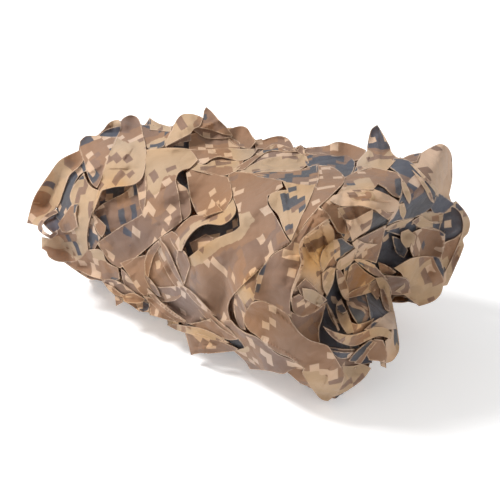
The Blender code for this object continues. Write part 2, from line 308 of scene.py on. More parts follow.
# Where the cloth lies calmer than elsewhere, and where its colour is painted warmer (below 0: cooler): partly
# a painted glow of light coming through the cloth in shaded folds and pockets, partly the cloth's own hue.
# Column, row, reach and share
CALM = (
    (48, 196, 20, .8), (52, 250, 14, .8), (255, 225, 42, .8), (170, 162, 22, .7), (138, 238, 26, .7),
    (435, 172, 26, .8), (285, 332, 32, .7), (320, 378, 26, .7), (205, 192, 18, .7), (213, 285, 28, .7),
    (420, 282, 20, .7), (290, 205, 16, .6),
)
GLOW_AND_HUE = (
    (325, 250, 26, 1.0), (364, 280, 18, 1.6), (218, 218, 20, .8), (56, 200, 22, .4), (205, 335, 26, .7),
    (130, 297, 16, .7), (252, 285, 14, 1.0), (262, 318, 22, .8), (120, 186, 12, .8), (150, 268, 20, .5),
    (366, 205, 26, .4), (356, 326, 14, 1.4), (225, 160, 14, .6), (435, 165, 26, -.2), (420, 280, 24, .3),
    (312, 262, 22, .8), (122, 206, 16, .7), (200, 248, 12, .9), (185, 300, 22, -.6), (140, 235, 26, -.4),
    (270, 355, 26, -.5), (360, 160, 16, -.4), (60, 240, 30, -.6), (125, 130, 20, -.5), (440, 240, 26, -.3),
)


# Each row is one leaf: its tone (0 blue-black, 0.3 brown, 0.5 tan, 0.8 sand), its share of dark squares, the
# turn of its print in degrees, and its outline in the photograph as column, row, height over the solid in
# millimetres and, where it changes, its own tone. Places with a tone of their own may follow. The tones are
# the cloth's print, but some also paint light and shade. Tones of 1 and over on the pocket's folds and curled
# edges paint them brightly lit. Low tones paint the shade on undersides, in slots and in strips under edges.
# The tones of single points and places paint where parts of a leaf lie in shade or light.
LEFT_LEAVES = (
    (.62, .00, 40, ((27, 223, 5), (34, 198, 5), (50, 173, 4), (60, 160, 3), (80, 150, 2), (84, 160, 2),
     (78, 168, 3), (70, 175, 4), (64, 190, 5), (58, 206, 5), (48, 214, 5), (38, 226, 5))),
    (.10, .30, 20, ((57, 208, 2), (62, 194, 2), (70, 175, 1), (79, 167, 1), (85, 160, 1), (87, 171, 1),
     (80, 175, 1), (74, 186, 2), (72, 206, 2), (63, 224, 2), (56, 217, 2))),
    (.30, .30, 0, ((38, 226, 8), (40, 221, 8), (47, 214, 8), (56, 209, 7), (58, 213, 5), (50, 217, 6),
     (44, 222, 6), (42, 226, 6), (44, 231, 6), (50, 235, 6), (57, 230, 5), (58, 234, 6), (51, 239, 8),
     (44, 235, 8), (39, 231, 8))),
    (.08, .80, 0, ((47, 216, 0), (57, 209, -1), (62, 220, -1), (59, 230, 0), (53, 233, 0), (46, 227, 0),
     (43, 223, 0))),
    (.78, .10, 8, ((73, 206, 3), (70, 197, 3), (73, 187, 4), (78, 180, 4), (84, 173, 4), (88, 183, 4),
     (93, 188, 4), (98, 190, 4), (97, 198, 4), (95, 206, 4), (91, 216, 5), (88, 228, 5), (87, 240, 4),
     (88, 250, 3), (84, 257, 2), (74, 262, 1, .6), (62, 262, 2, .6), (56, 261, 3, .6), (49, 257, 3, .6),
     (46, 251, 3, .6), (42, 249, 3, .6), (42, 237, 3), (51, 239, 3), (62, 224, 3, .6), (66, 214, 2, .5))),
    (.62, .35, 12, ((58, 224, 5), (66, 213, 4), (72, 205, 5), (78, 204, 5), (76, 214, 6), (78, 226, 5),
     (70, 232, 4), (62, 232, 4))),
    (.48, .62, 38, ((80, 149, 3), (80, 141, 3), (86, 136, 2), (97, 136, 2), (108, 137, 3), (118, 137, 4),
     (113, 148, 5), (108, 158, 6), (104, 170, 6, .3), (101, 180, 7, .2), (97, 188, 8, .2),
     (92, 184, 7, .2), (88, 176, 6, .3), (86, 168, 4, .3), (84, 160, 3))),
    (.10, .90, 10, ((97, 137, 1), (104, 131, 2), (111, 128, 2), (121, 126, 2), (123, 132, 2),
     (118, 138, 2), (108, 139, 1))),
    (.88, -.6, 10, ((103, 131, 0), (106, 126, 0), (110, 122, 0), (115, 120, 0), (119, 120, 0),
     (122, 125, 1), (121, 129, 1), (111, 130, 0))),
    (.80, -.3, 42, ((120, 130, 3, .35), (121, 121, 3, .32), (125, 117, 2, .32), (131, 115, 1, .32),
     (138, 118, 1, .32), (141, 125, 2, .36), (143, 134, 3, .5), (146, 148, 5), (146, 160, 5),
     (145, 169, 7), (142, 178, 8), (135, 184, 9, .8), (126, 186, 9, .8), (115, 187, 9, .8),
     (107, 189, 9, .8), (102, 191, 8), (98, 201, 7), (94, 211, 7), (92, 217, 8), (95, 203, 6),
     (99, 187, 5), (104, 170, 6), (110, 152, 6), (115, 140, 5))),
    (.36, .70, 12, ((93, 213, -1, .1), (101, 205, -3), (112, 199, -4), (124, 193, -4), (135, 183, -3),
     (139, 193, -3, .1), (142, 205, -2), (143, 214, -1), (128, 224, -2), (103, 239, -2), (104, 226, -2))),
    (.12, .60, 0, ((99, 203, -7), (101, 193, -7, .5), (108, 187, -8), (122, 184, -9), (136, 180, -9),
     (132, 190, -9), (116, 198, -9), (100, 209, -8))),
    (.50, .20, 24, ((93, 214, 5), (99, 219, 5), (106, 226, 5), (105, 232, 5), (102, 237, 4), (97, 231, 3),
     (94, 222, 3))),
    (.28, .30, 0, ((92, 217, 2), (89, 227, 1), (87, 240, 0, .1), (88, 251, 1, .1), (94, 251, 3),
     (99, 241, 3), (101, 237, 3), (96, 231, 3), (94, 222, 3))),
    (.30, .00, 0, ((136, 183, 3), (141, 177, 5), (145, 168, 6), (147, 185, 6), (146, 200, 6),
     (143, 214, 4), (140, 205, 3), (138, 193, 3))),
    (.47, .20, 8, ((87, 250, 3), (97, 249, 4, .7), (103, 252, 4, .75), (107, 262, 4), (118, 268, 4),
     (120, 279, 3, .2), (111, 281, 2, .2), (100, 279, 2), (90, 276, 2), (80, 271, 2), (70, 266, 2),
     (62, 261, 2), (75, 261, 3), (83, 256, 4))),
    # Painted shade: a dark strip under the lower edge of the leaf above it.
    (.22, .10, 0, ((64, 262, 0), (80, 270, 0), (100, 277, 0), (105, 282, -1), (97, 280, -2), (89, 279, -2),
     (72, 268, -1))),
)

# The leaves along the top
UPPER_LEAVES = (
    (.30, .20, 0, ((246, 141, -1.5), (262, 139, -1.5), (268, 152, -1.5), (248, 156, -1.5))),
    (.25, .40, 0, ((346, 152, -1.5), (363, 150, -1.5), (363, 174, -1.5), (350, 178, -1.5))),
    (.30, .40, 0, ((294, 158, -1.5), (313, 158, -1.5), (316, 178, -1.5), (296, 176, -1.5))),
    (.78, -.4, 0, ((150, 130, 0), (149, 117, 2), (158, 123, 1), (172, 127, 0), (171, 132, 0))),
    (.40, .55, 4, ((141, 125, 0, .1), (150, 125, 0, .1), (172, 127, 0), (171, 132, 0), (167, 141, 1, .6),
     (163, 147, 2, .7), (150, 150, 2, .7), (146, 146, 2, .6), (143, 134, 1, .3))),
    # Painted shade: the underside of the folded-over top leaf has a darker tone, and the blue-black piece
    # below it paints the slot.
    (.36, -.4, 0, ((165, 147, 2), (180, 139, 2), (191, 133, 3), (191, 141, 1), (180, 143, 0), (170, 148, 0))),
    (-.30, .50, 0, ((167, 150, -4), (180, 142, -4), (192, 139, -4), (191, 151, -4))),
    (.84, -.4, 30, ((165, 147, 4), (168, 138, 5), (172, 130, 6), (176, 121, 6), (180, 116, 6),
     (184, 114, 5), (192, 114, 5), (199, 116, 4, .6), (203, 118, 4, .5), (200, 126, 6, .5),
     (194, 129, 7, .6), (190, 134, 8), (180, 139, 7))),
    # Painted shade: a dark brown strip under the lower edge of the leaf above.
    (.34, -.6, 0, ((192, 129, 3), (200, 127, 3), (212, 130, 3), (222, 133, 3), (233, 137, 3),
     (220, 139, 3), (205, 138, 3), (197, 133, 3))),
    (.46, -.5, 32, ((200, 119, 4), (203, 118, 3, .2), (204, 111, 4, .2), (206, 107, 4, .2),
     (212, 112, 3, .4), (219, 120, 3), (227, 128, 2), (233, 136, 4), (222, 134, 5), (212, 130, 6),
     (200, 128, 6), (194, 127, 6), (197, 122, 5))),
    (.36, -.2, 8, ((189, 135, 1), (197, 132, 2), (205, 137, 2), (220, 139, 2), (230, 137, 2),
     (240, 143, 2), (240, 152, 2, .5), (222, 154, 2, .6), (205, 154, 2, .6), (189, 151, 2, .5))),
    (.55, .08, 8, ((228, 130, 1), (235, 127, 0), (242, 126, 0), (247, 128, 1), (251, 134, 2),
     (256, 142, 2), (250, 149, 2), (240, 147, 2), (231, 142, 2), (228, 136, 2))),
    (.36, .25, 0, ((254, 143, 0), (259, 141, 0), (266, 139, 0), (272, 137, 0), (280, 136, 0),
     (287, 138, 0), (291, 142, 0), (295, 150, 1), (286, 151, 1), (275, 146, 1), (265, 149, 1),
     (256, 149, 1))),
    (.66, -.2, 12, ((186, 149, 3), (200, 150, 3, .5), (215, 149, 3, .5), (228, 148, 3), (240, 149, 2),
     (258, 149, 2), (250, 158, 2), (240, 161, 3), (234, 160, 3), (226, 158, 3.5), (219, 157, 3.5),
     (212, 159, 3.5), (204, 164, 3.5), (196, 163, 3), (190, 156, 3))),
    (.60, -.4, 0, ((203, 162, 0), (212, 157, 0), (222, 156, 0), (236, 158, 0), (234, 163, 0), (218, 165, 0))),
    (.66, -.2, 12, ((188, 169, 5), (195, 162, 3), (205, 165, 3), (213, 161, 2.5), (222, 161, 2.5),
     (235, 161, 2.5), (244, 160, 2.5), (240, 168, 3), (235, 172, 4), (224, 176, 5, .45), (212, 175, 6, .5),
     (200, 172, 7))),
    (.28, -.2, 0, ((236, 172, 0), (252, 160, 0), (263, 153, 0), (274, 150, 0), (300, 149, 0),
     (304, 156, 0), (285, 160, 0), (262, 164, 0), (244, 172, 0))),
    (.50, .30, 14, ((233, 170, 3), (243, 163, 3), (256, 155, 3), (266, 148, 3.5), (275, 144, 3.5),
     (288, 147, 2, .2), (298, 152, 1, .2), (285, 152, 1, .25), (272, 151, 2), (262, 155, 2.5),
     (252, 163, 3), (243, 170, 3))),
    (.86, -.4, 6, ((238, 173, 2), (250, 166, 2), (262, 160, 2.5), (275, 157, 2.5), (290, 156, 2.5),
     (300, 154, 2.5), (307, 157, 2.5), (309, 163, 2.5), (302, 169, 4), (290, 172, 5), (275, 172, 6),
     (258, 173, 5))),
    (.18, .60, 0, ((297, 151, 2), (300, 145, 3), (304, 149, 2), (306, 156, 1), (300, 154, 2))),
    (.40, -.2, -8, ((303, 150, 0), (315, 147, 0), (326, 146, 0), (336, 142, 0), (346, 143, 0),
     (356, 146, 0), (366, 150, 0), (364, 157, 1), (355, 161, 1), (345, 158, 1), (335, 158, 1),
     (322, 155, 1), (310, 155, 1))),
    (.34, .95, -14, ((304, 154, 1), (320, 153, 1.5), (335, 156, 2), (348, 156, 2), (355, 162, 3, .0),
     (354, 170, 3, -.1), (350, 176, 3, -.1), (344, 178, 3, .0), (338, 172, 3), (330, 169, 3),
     (320, 166, 3), (312, 169, 3.5), (306, 165, 3.5))),
    (.30, .20, 10, ((176, 179, 4), (180, 184, 4), (187, 189, 4), (190, 200, 4), (191, 212, 4),
     (187, 218, 4), (182, 221, 4), (180, 210, 4), (178, 195, 4))),
    (-.30, .60, 0, ((176, 183, -5), (178, 172, -5), (185, 166, -5), (192, 170, -5), (190, 193, -5),
     (182, 189, -5))),
)

# The large leaves of the middle
MIDDLE_LEAVES = (
    (.80, -.6, 32, ((146, 150, 5), (168, 148, 5), (188, 149, 5), (194, 154, 5), (198, 160, 6),
     (190, 168, 8), (183, 170, 9), (178, 174, 9), (176, 181, 7, .45), (178, 190, 6, .33),
     (180, 204, 5, .33), (182, 221, 6, .34), (172, 229, 7, .34), (160, 238, 6, .34), (150, 246, 6, .34),
     (138, 256, 5, .34), (128, 264, 4, .34), (120, 268, 3, .35), (110, 262, 4, .35), (103, 252, 5, .5),
     (97, 243, 5, .7), (107, 236, 7, .4), (120, 227, 8, .34), (134, 219, 8, .34), (143, 214, 7, .34),
     (145, 200, 6, .5), (145, 185, 6), (145, 168, 6))),
    (.44, -.5, 22, ((186, 173, 4), (190, 170, 5), (200, 170, 6), (212, 173, 6), (222, 176, 6),
     (228, 177, 6), (231, 186, 7), (232, 197, 8), (228, 205, 7), (224, 211, 6), (214, 215, 5),
     (204, 217, 5), (198, 215, 5), (193, 205, 5), (190, 196, 5), (188, 184, 5))),
    (.50, -.5, 0, ((212, 199, 8), (217, 204, 9), (223, 211, 9), (213, 214, 10), (203, 218, 11),
     (208, 208, 10))),
    (.76, -.5, 18, ((232, 196, 6), (236, 208, 8), (235, 214, 9), (229, 221, 10), (221, 225, 11),
     (208, 224, 11), (199, 227, 11), (191, 234, 11), (185, 243, 11), (182, 251, 10), (177, 250, 8, .4),
     (172, 243, 6, .4), (170, 238, 5, .4), (178, 228, 6, .4), (190, 217, 6, .4), (200, 215, 5, .5),
     (210, 216, 5, .6), (224, 211, 6, .7), (229, 204, 6))),
    (.10, .50, 0, ((178, 252, -6), (184, 238, -6), (196, 226, -6), (208, 220, -6), (222, 221, -6),
     (230, 215, -6), (237, 206, -6, -.1), (242, 228, -5, -.1), (230, 238, -5), (206, 248, -5),
     (190, 262, -4))),
    (.36, -.6, 0, ((190, 243, -4), (206, 234, -5), (214, 238, -4), (208, 246, -3), (194, 254, -3))),
    (.48, -.4, 14, ((228, 176, 5), (233, 172, 4), (250, 173, 5), (266, 176, 5), (281, 180, 5),
     (283, 187, 5), (276, 192, 5), (268, 196, 5), (268, 204, 5), (273, 212, 5), (280, 224, 5),
     (286, 236, 5), (291, 243, 5), (273, 254, 5), (265, 264, 6), (250, 278, 6), (237, 291, 6, .5),
     (230, 300, 6, .5), (228, 310, 6), (231, 322, 6, .4), (218, 321, 5, .35), (208, 311, 5), (196, 298, 5),
     (184, 287, 5), (180, 272, 5), (177, 260, 5), (187, 258, 6, .8), (194, 253, 8, .82),
     (203, 246, 9, .84), (213, 240, 9, .84), (224, 235, 9, .84), (234, 231, 9, .84), (240, 226, 8, .75),
     (238, 210, 6), (233, 197, 5), (231, 186, 5)),
     ((203, 276, .4), (217, 268, .42), (231, 256, .45), (244, 250, .45), (254, 236, .45))),
    (.33, -.8, 10, ((179, 247, 7), (184, 251, 8), (188, 258, 9), (190, 266, 7), (187, 276, 7),
     (184, 286, 6), (181, 274, 6), (177, 262, 6))),
    (.42, -.4, 30, ((160, 238, 6), (172, 231, 6), (178, 236, 6), (179, 247, 5), (177, 262, 5),
     (181, 275, 5), (184, 287, 5), (176, 287, 5), (168, 275, 5), (162, 262, 5), (158, 250, 5))),
    (.40, .95, -10, ((250, 173, 4), (262, 170, 5), (280, 170, 5), (300, 170, 5), (309, 167, 6),
     (318, 164, 6), (319, 178, 6), (316, 187, 6), (311, 193, 5), (303, 191, 5), (292, 187, 5),
     (284, 182, 5), (270, 179, 5), (258, 177, 4))),
    (.78, .50, 5, ((283, 182, 6), (296, 184, 7), (306, 185, 7), (316, 184, 6), (313, 192, 7),
     (307, 206, 8), (302, 216, 8), (297, 228, 8), (291, 241, 9), (284, 230, 8), (278, 215, 8),
     (271, 207, 7), (268, 200, 7), (271, 194, 6), (279, 191, 6), (287, 190, 6))),
    (.50, -.4, 4, ((316, 166, 6), (326, 166, 7), (334, 168, 7), (341, 173, 7), (345, 178, 7),
     (343, 184, 6), (336, 191, 6), (328, 199, 6), (321, 205, 6), (315, 212, 6), (308, 220, 6),
     (300, 231, 6), (291, 243, 7), (297, 228, 7), (303, 213, 7), (310, 198, 6), (316, 184, 6))),
    (.33, -.8, -12, ((318, 207, 6), (325, 211, 6), (331, 218, 6), (326, 221, 9), (317, 227, 9),
     (307, 235, 9), (300, 243, 9), (299, 252, 8), (302, 262, 8), (300, 272, 8), (295, 284, 7),
     (291, 296, 7), (290, 308, 7), (291, 317, 7), (280, 309, 6), (266, 302, 6), (253, 299, 7),
     (256, 285, 7), (259, 272, 7), (265, 264, 7), (274, 254, 7), (290, 244, 7), (305, 225, 6))),
    (.86, .05, 8, ((265, 264, 3), (260, 274, 4), (257, 288, 4), (255, 299, 4), (250, 306, 5),
     (247, 311, 5), (243, 303, 4), (239, 296, 3), (236, 291, 3), (248, 280, 3))),
)

# The leaves and folded strips low on the front
FRONT_LEAVES = (
    (.50, -.4, 25, ((158, 240, 7), (151, 247, 6), (146, 256, 7), (145, 275, 8), (148, 285, 7),
     (155, 294, 5), (163, 302, 4), (176, 300, 4), (186, 291, 4), (180, 276, 4), (170, 262, 4),
     (163, 248, 5))),
    (.50, -.6, 30, ((120, 263, 4), (133, 258, 5), (146, 255, 5), (145, 276, 6), (149, 287, 6),
     (147, 298, 6), (138, 290, 5), (128, 274, 4))),
    (.28, -.4, 12, ((121, 268, 2), (127, 274, 3), (137, 287, 4), (151, 301, 4), (144, 301, 3),
     (133, 294, 2), (124, 283, 2))),
    # A facet that faces down; its dark tone is partly painted shade.
    (.33, -.8, 8, ((146, 284, 3), (160, 287, 6), (184, 287, 7), (197, 300, 7), (211, 318, 3),
     (203, 323, -1), (190, 324, -2), (178, 319, -2), (165, 308, -1), (153, 298, 0))),
    (.50, -.6, 30, ((143, 296, 6), (152, 298, 6), (167, 308, 6), (186, 322, 5), (176, 321, 5),
     (160, 311, 5), (149, 302, 5))),
    (.36, -.6, 20, ((102, 281, 2), (110, 279, 3), (121, 283, 4), (135, 293, 4), (126, 298, 2),
     (119, 298, 1), (111, 290, 1))),
    (.30, .10, 0, ((115, 296, 0), (121, 297, 1), (123, 302, 0), (116, 306, 0))),
    (.44, -.6, 12, ((122, 296, 4), (133, 293, 5), (145, 299, 5), (141, 303, 5), (132, 303, 4),
     (125, 302, 3))),
    (-.10, .90, 0, ((136, 303, 1), (143, 301, 1), (150, 304, 1), (149, 311, 0), (143, 312, 0),
     (138, 309, 0))),
    (.40, .20, 0, ((124, 301, 0), (137, 303, 0), (140, 312, -1), (132, 306, -1))),
    (.44, -.6, 18, ((149, 303, 3), (154, 303, 4), (165, 309, 4), (173, 316, 3), (177, 322, 2),
     (168, 320, 1), (151, 315, 1))),
    (.45, -.4, 18, ((184, 286, 6), (196, 298, 7), (208, 311, 7), (219, 321, 7), (231, 331, 7),
     (238, 339, 6), (228, 334, 5), (216, 326, 4), (204, 316, 4), (192, 300, 4))),
    (.37, -.6, 0, ((226, 296, -5), (236, 289, -4), (245, 301, -4), (250, 312, -4), (248, 322, -4),
     (252, 334, -4), (240, 333, -5), (228, 324, -5), (225, 310, -5))),
    (.40, -.6, 10, ((236, 292, 2), (242, 300, 4), (247, 311, 6), (244, 320, 5), (246, 330, 5),
     (240, 327, 1), (235, 315, 0), (234, 303, 0))),
    (.50, -.4, 8, ((247, 310, 6), (252, 303, 5), (262, 301, 5), (275, 306, 5), (288, 315, 6),
     (293, 324, 8), (301, 334, 9), (310, 340, 9), (320, 343, 9), (328, 346, 9), (334, 355, 8, .5),
     (339, 364, 6, .5), (343, 371, 5, .5), (344, 377, 4, .6), (341, 386, 2, .7), (334, 396, 1, .7),
     (328, 401, 0, .75), (321, 399, 0, .75), (313, 390, 1, .75), (308, 383, 2, .7), (302, 372, 3, .7),
     (304, 368, 4, .5), (290, 358, 6), (278, 353, 7), (268, 346, 8), (256, 335, 9), (250, 331, 9),
     (245, 324, 8), (244, 317, 7))),
    (.68, -.4, 10, ((340, 366, 2), (352, 366, 1), (362, 364, 1), (371, 368, 1), (363, 379, 0),
     (351, 388, 0), (340, 394, 0), (333, 397, 0), (341, 385, 2))),
    (.32, -.4, 14, ((231, 320, 6), (237, 327, 7), (246, 333, 8), (257, 337, 7), (268, 346, 6),
     (278, 354, 6), (292, 360, 5), (306, 369, 4), (297, 368, 3), (289, 371, 2), (283, 374, 1),
     (270, 371, 0), (250, 369, 0), (246, 362, 0), (240, 356, 1), (234, 351, 2, .55), (240, 349, 4, .6),
     (245, 348, 5, .6), (239, 339, 6), (230, 332, 6), (222, 326, 5), (217, 321, 5))),
    (.30, .10, 0, ((286, 371, 0), (296, 367, 1), (306, 369, 2), (303, 374, 1), (309, 385, 0),
     (305, 385, 0), (298, 381, 0))),
    (-.20, .70, 0, ((225, 341, -3), (231, 335, -3), (240, 337, -3), (246, 346, -3), (241, 351, -3),
     (232, 348, -3))),
    (.30, -.8, -20, ((185, 332, 2), (197, 333, 3), (210, 337, 4), (226, 343, 4), (238, 349, 3),
     (234, 351, 2), (212, 353, 1), (200, 353, 1), (191, 355, 0), (189, 346, 0))),
    (.62, -.6, 10, ((167, 325, 2), (175, 324, 3), (186, 326, 5), (200, 328, 6), (213, 333, 6),
     (222, 338, 6), (229, 343, 6), (210, 339, 4), (190, 334, 3), (177, 330, 2))),
    (.46, -.6, 10, ((190, 324, 3), (203, 321, 5), (211, 318, 6), (220, 327, 7), (229, 333, 7),
     (239, 339, 7), (230, 340, 6), (218, 336, 5), (205, 330, 4))),
    (.50, -.6, 10, ((147, 288, 7), (152, 292, 8), (162, 303, 8), (175, 313, 8), (186, 321, 7),
     (176, 317, 6), (160, 305, 6), (149, 294, 6))),
    (.37, -.6, 10, ((152, 247, 9), (159, 240, 10), (160, 246, 8), (154, 256, 7), (150, 270, 8),
     (148, 281, 8), (145, 270, 9), (146, 257, 9))),
    (.34, -.6, 0, ((146, 276, 8), (152, 281, 8), (158, 290, 8), (161, 297, 7), (154, 293, 6), (148, 285, 6))),
    (.50, -.6, 0, ((182, 285, 8), (192, 292, 9), (206, 306, 10), (216, 316, 10), (206, 311, 8),
     (192, 299, 7))),
    (.55, -.4, 0, ((104, 283, 3), (113, 287, 4), (122, 294, 4), (133, 297, 4), (122, 297, 3), (110, 291, 3))),
    (.37, -.6, 0, ((160, 240, 9), (166, 246, 9), (172, 258, 9), (179, 274, 9), (184, 285, 8),
     (176, 277, 7), (168, 262, 7), (162, 250, 8))),
)

# The leaves round the deep pocket in front of the open end
POCKET_LEAVES = (
    (.30, .20, 0, ((374, 332, -1.5), (392, 332, -1.5), (392, 349, -1.5), (374, 351, -1.5))),
    # Painted light: the pale tones of these two folds make the upper pocket look brightly lit.
    (1.20, -.6, 20, ((303, 241, -2), (315, 231, -1), (327, 221, 1), (334, 231, 1), (333, 246, 0),
     (322, 271, 0), (315, 262, -1), (308, 252, -1))),
    (1.10, -.6, 20, ((299, 246, -3), (312, 248, -2), (321, 268, -1), (327, 286, -1), (322, 296, 0),
     (312, 284, -1), (305, 278, 0), (297, 286, 1), (300, 262, -2))),
    (.82, -.2, 10, ((323, 250, 2), (333, 241, 3), (334, 254, 3), (329, 262, 3), (323, 272, 2),
     (320, 262, 1))),
    # Painted highlight on the lower fold.
    (1.0, -.6, 60, ((322, 273, 3), (330, 267, 4), (335, 268, 5), (333, 282, 5), (327, 296, 5),
     (323, 288, 4))),
    (.34, -.6, 0, ((291, 284, -1), (301, 276, -1), (305, 293, -1), (296, 300, -1), (290, 297, -1))),
    (.60, -.6, 0, ((325, 255, -1), (336, 250, 0), (340, 262, 0), (334, 272, 0), (323, 271, 0))),
    (.34, -.6, 0, ((297, 286, 2), (305, 278, 6), (314, 286, 6), (327, 300, 6), (314, 296, 3), (301, 295, 2))),
    (.70, -.6, 20, ((302, 288, 6), (314, 290, 7), (327, 300, 8), (319, 307, 7), (304, 299, 6))),
    (.42, -.6, 16, ((291, 298, 2), (299, 294, 3), (307, 298, 4), (318, 304, 5), (328, 302, 6),
     (313, 313, 6), (301, 317, 5), (293, 311, 3))),
    (.37, -.8, 16, ((291, 311, 1), (301, 316, 2), (313, 312, 3), (326, 303, 4), (322, 319, 4),
     (319, 330, 3), (320, 344, 3), (310, 341, 2), (300, 334, 2), (292, 322, 2))),
    # Painted highlight: the curled rim of the pocket's big fold, made pale.
    (1.1, -.4, 0, ((327, 219, 9), (330, 222, 8), (318, 230, 12), (306, 239, 13), (302, 248, 13),
     (304, 262, 13), (301, 273, 12), (293, 292, 10), (291, 302, 9), (291, 291, 10), (298, 272, 12),
     (301, 262, 13), (299, 248, 13), (303, 238, 13), (315, 228, 12))),
    (.50, -.6, 24, ((320, 206, 4), (328, 199, 5), (335, 195, 5), (340, 204, 5), (340, 212, 5),
     (346, 223, 4), (346, 234, 4), (338, 232, 3), (332, 222, 4), (326, 213, 5))),
    (.10, -.2, 0, ((337, 209, 0), (343, 212, 0), (349, 226, 0), (354, 241, 0), (345, 241, 0), (340, 232, 1))),
    (.50, -.3, 0, ((339, 212, 2), (343, 215, 3), (347, 226, 3), (346, 232, 2), (341, 222, 2))),
    (.56, -.1, 30, ((337, 208, 5), (350, 206, 6), (362, 206, 7), (373, 209, 7), (364, 216, 7),
     (352, 221, 7), (345, 221, 6))),
    (1.15, -.8, 30, ((345, 219, 7), (352, 220, 9), (364, 214, 9), (373, 209, 9), (372, 220, 10),
     (369, 229, 10), (360, 235, 10), (352, 241, 10), (349, 231, 9))),
    (1.2, -.6, 22, ((330, 201, 5), (334, 196, 5), (345, 191, 6), (358, 189, 6), (372, 189, 6),
     (386, 194, 8), (398, 201, 10), (399, 205, 11), (394, 213, 12), (388, 220, 12), (380, 214, 11),
     (375, 210, 10), (362, 206, 10), (350, 206, 9), (341, 206, 7)), ((358, 196, .5), (368, 194, .5))),
    (.40, -.3, 0, ((375, 210, 11), (381, 209, 12), (389, 213, 13), (394, 212, 13), (388, 220, 13),
     (381, 215, 12))),
    (-.20, .60, 0, ((373, 188, 0), (377, 182, 0), (384, 186, 0), (390, 196, 0), (380, 196, 0))),
    (.50, .10, 12, ((344, 178, 5), (355, 172, 5), (365, 167, 6), (376, 167, 6), (386, 170, 7),
     (398, 174, 7, .3), (403, 185, 6, .2), (400, 198, 6, .25), (392, 195, 6, .3), (385, 188, 6),
     (378, 184, 6), (373, 190, 6, .8), (358, 190, 6, .8), (346, 191, 5, .6), (337, 194, 5), (344, 184, 5))),
    (.84, -.2, 14, ((358, 172, 5), (357, 163, 5), (363, 155, 4), (367, 151, 4, .8), (367, 147, 4, -.2),
     (371, 130, 5, -.2), (377, 125, 6, -.2), (382, 132, 5, -.2), (390, 147, 4, -.2), (391, 151, 4, .8),
     (394, 155, 4), (398, 158, 4, .7), (391, 166, 6), (386, 171, 7), (372, 168, 7), (364, 170, 6))),
    (.12, .40, 0, ((352, 176, 3), (357, 165, 3), (361, 162, 3), (362, 172, 3), (356, 180, 3), (350, 180, 3))),
    (-.15, .80, 0, ((370, 209, -1), (389, 218, -1), (387, 226, -1), (376, 231, 0), (360, 239, 0),
     (366, 230, -1))),
    (.05, .70, 12, ((333, 240, 1), (342, 238, 2), (350, 244, 3), (357, 247, 3), (346, 253, 2),
     (336, 263, 1), (333, 254, 1)), ((339, 247, .45),)),
    (1.0, -.6, 12, ((336, 268, 5), (338, 261, 5), (348, 254, 6), (358, 246, 7), (356, 256, 6),
     (352, 262, 5), (345, 268, 4), (340, 270, 4))),
    (-.10, .60, 0, ((344, 268, 2), (351, 262, 3), (351, 274, 3), (347, 286, 2), (344, 277, 2))),
    (.48, -.6, 8, ((336, 270, 3), (340, 268, 4), (344, 276, 4), (348, 286, 4), (349, 302, 3),
     (343, 297, 3), (338, 285, 3))),
    (.36, -.3, 0, ((355, 240, 6), (366, 235, 7), (386, 225, 9), (383, 238, 9), (380, 250, 9),
     (376, 263, 9), (366, 260, 7), (354, 259, 6))),
    (1.15, -.6, 10, ((352, 243, 8), (357, 239, 10), (366, 243, 10), (378, 244, 10), (368, 249, 10),
     (361, 253, 9), (356, 249, 8))),
    (.52, -.6, 10, ((347, 277, 3), (350, 266, 4), (356, 262, 5), (366, 272, 6), (376, 278, 7),
     (366, 285, 5), (354, 293, 4), (346, 292, 3))),
    (.22, -.3, 0, ((354, 260, 6), (364, 260, 7), (375, 266, 8), (388, 280, 8), (374, 275, 7), (364, 268, 6))),
    (.90, -.4, 0, ((353, 259, 8), (362, 259, 9), (375, 265, 10), (374, 268, 9), (362, 263, 8))),
    (.60, -.6, 0, ((345, 299, 3), (350, 292, 4), (358, 288, 5), (368, 284, 6), (376, 290, 6),
     (366, 294, 5), (354, 297, 4))),
    (.24, -.3, 0, ((368, 284, 7), (378, 279, 8), (382, 294, 7), (377, 300, 6), (371, 292, 6))),
    (.86, -.4, 0, ((375, 278, 9), (382, 277, 10), (388, 283, 10), (391, 296, 10), (394, 313, 9),
     (388, 311, 8), (384, 298, 8), (379, 287, 8))),
    (.44, -.4, 0, ((380, 288, 9), (384, 289, 10), (388, 300, 10), (390, 312, 9), (385, 309, 8),
     (381, 298, 8))),
    (-.15, .50, 0, ((334, 262, -9), (340, 280, -9), (346, 300, -12), (351, 322, -13), (360, 348, -13),
     (348, 364, -10), (336, 358, -8), (326, 350, -6), (316, 344, -8), (316, 325, -9), (322, 305, -9),
     (328, 290, -9))),
    (.22, -.2, 30, ((326, 304, -4), (331, 309, -3), (339, 328, -2), (334, 324, -3), (329, 315, -5))),
    (.90, -.4, 0, ((326, 302, -2), (328, 304, -1), (340, 330, -1), (338, 331, -1))),
    (.70, -.6, 20, ((336, 306, -3), (341, 299, -2), (345, 307, 0), (350, 319, 1), (354, 332, 2),
     (347, 334, 1), (341, 325, -1), (337, 315, -2))),
    (.20, -.2, 20, ((336, 305, 0), (341, 300, 1), (347, 311, 2), (343, 314, 1), (338, 311, 0))),
)

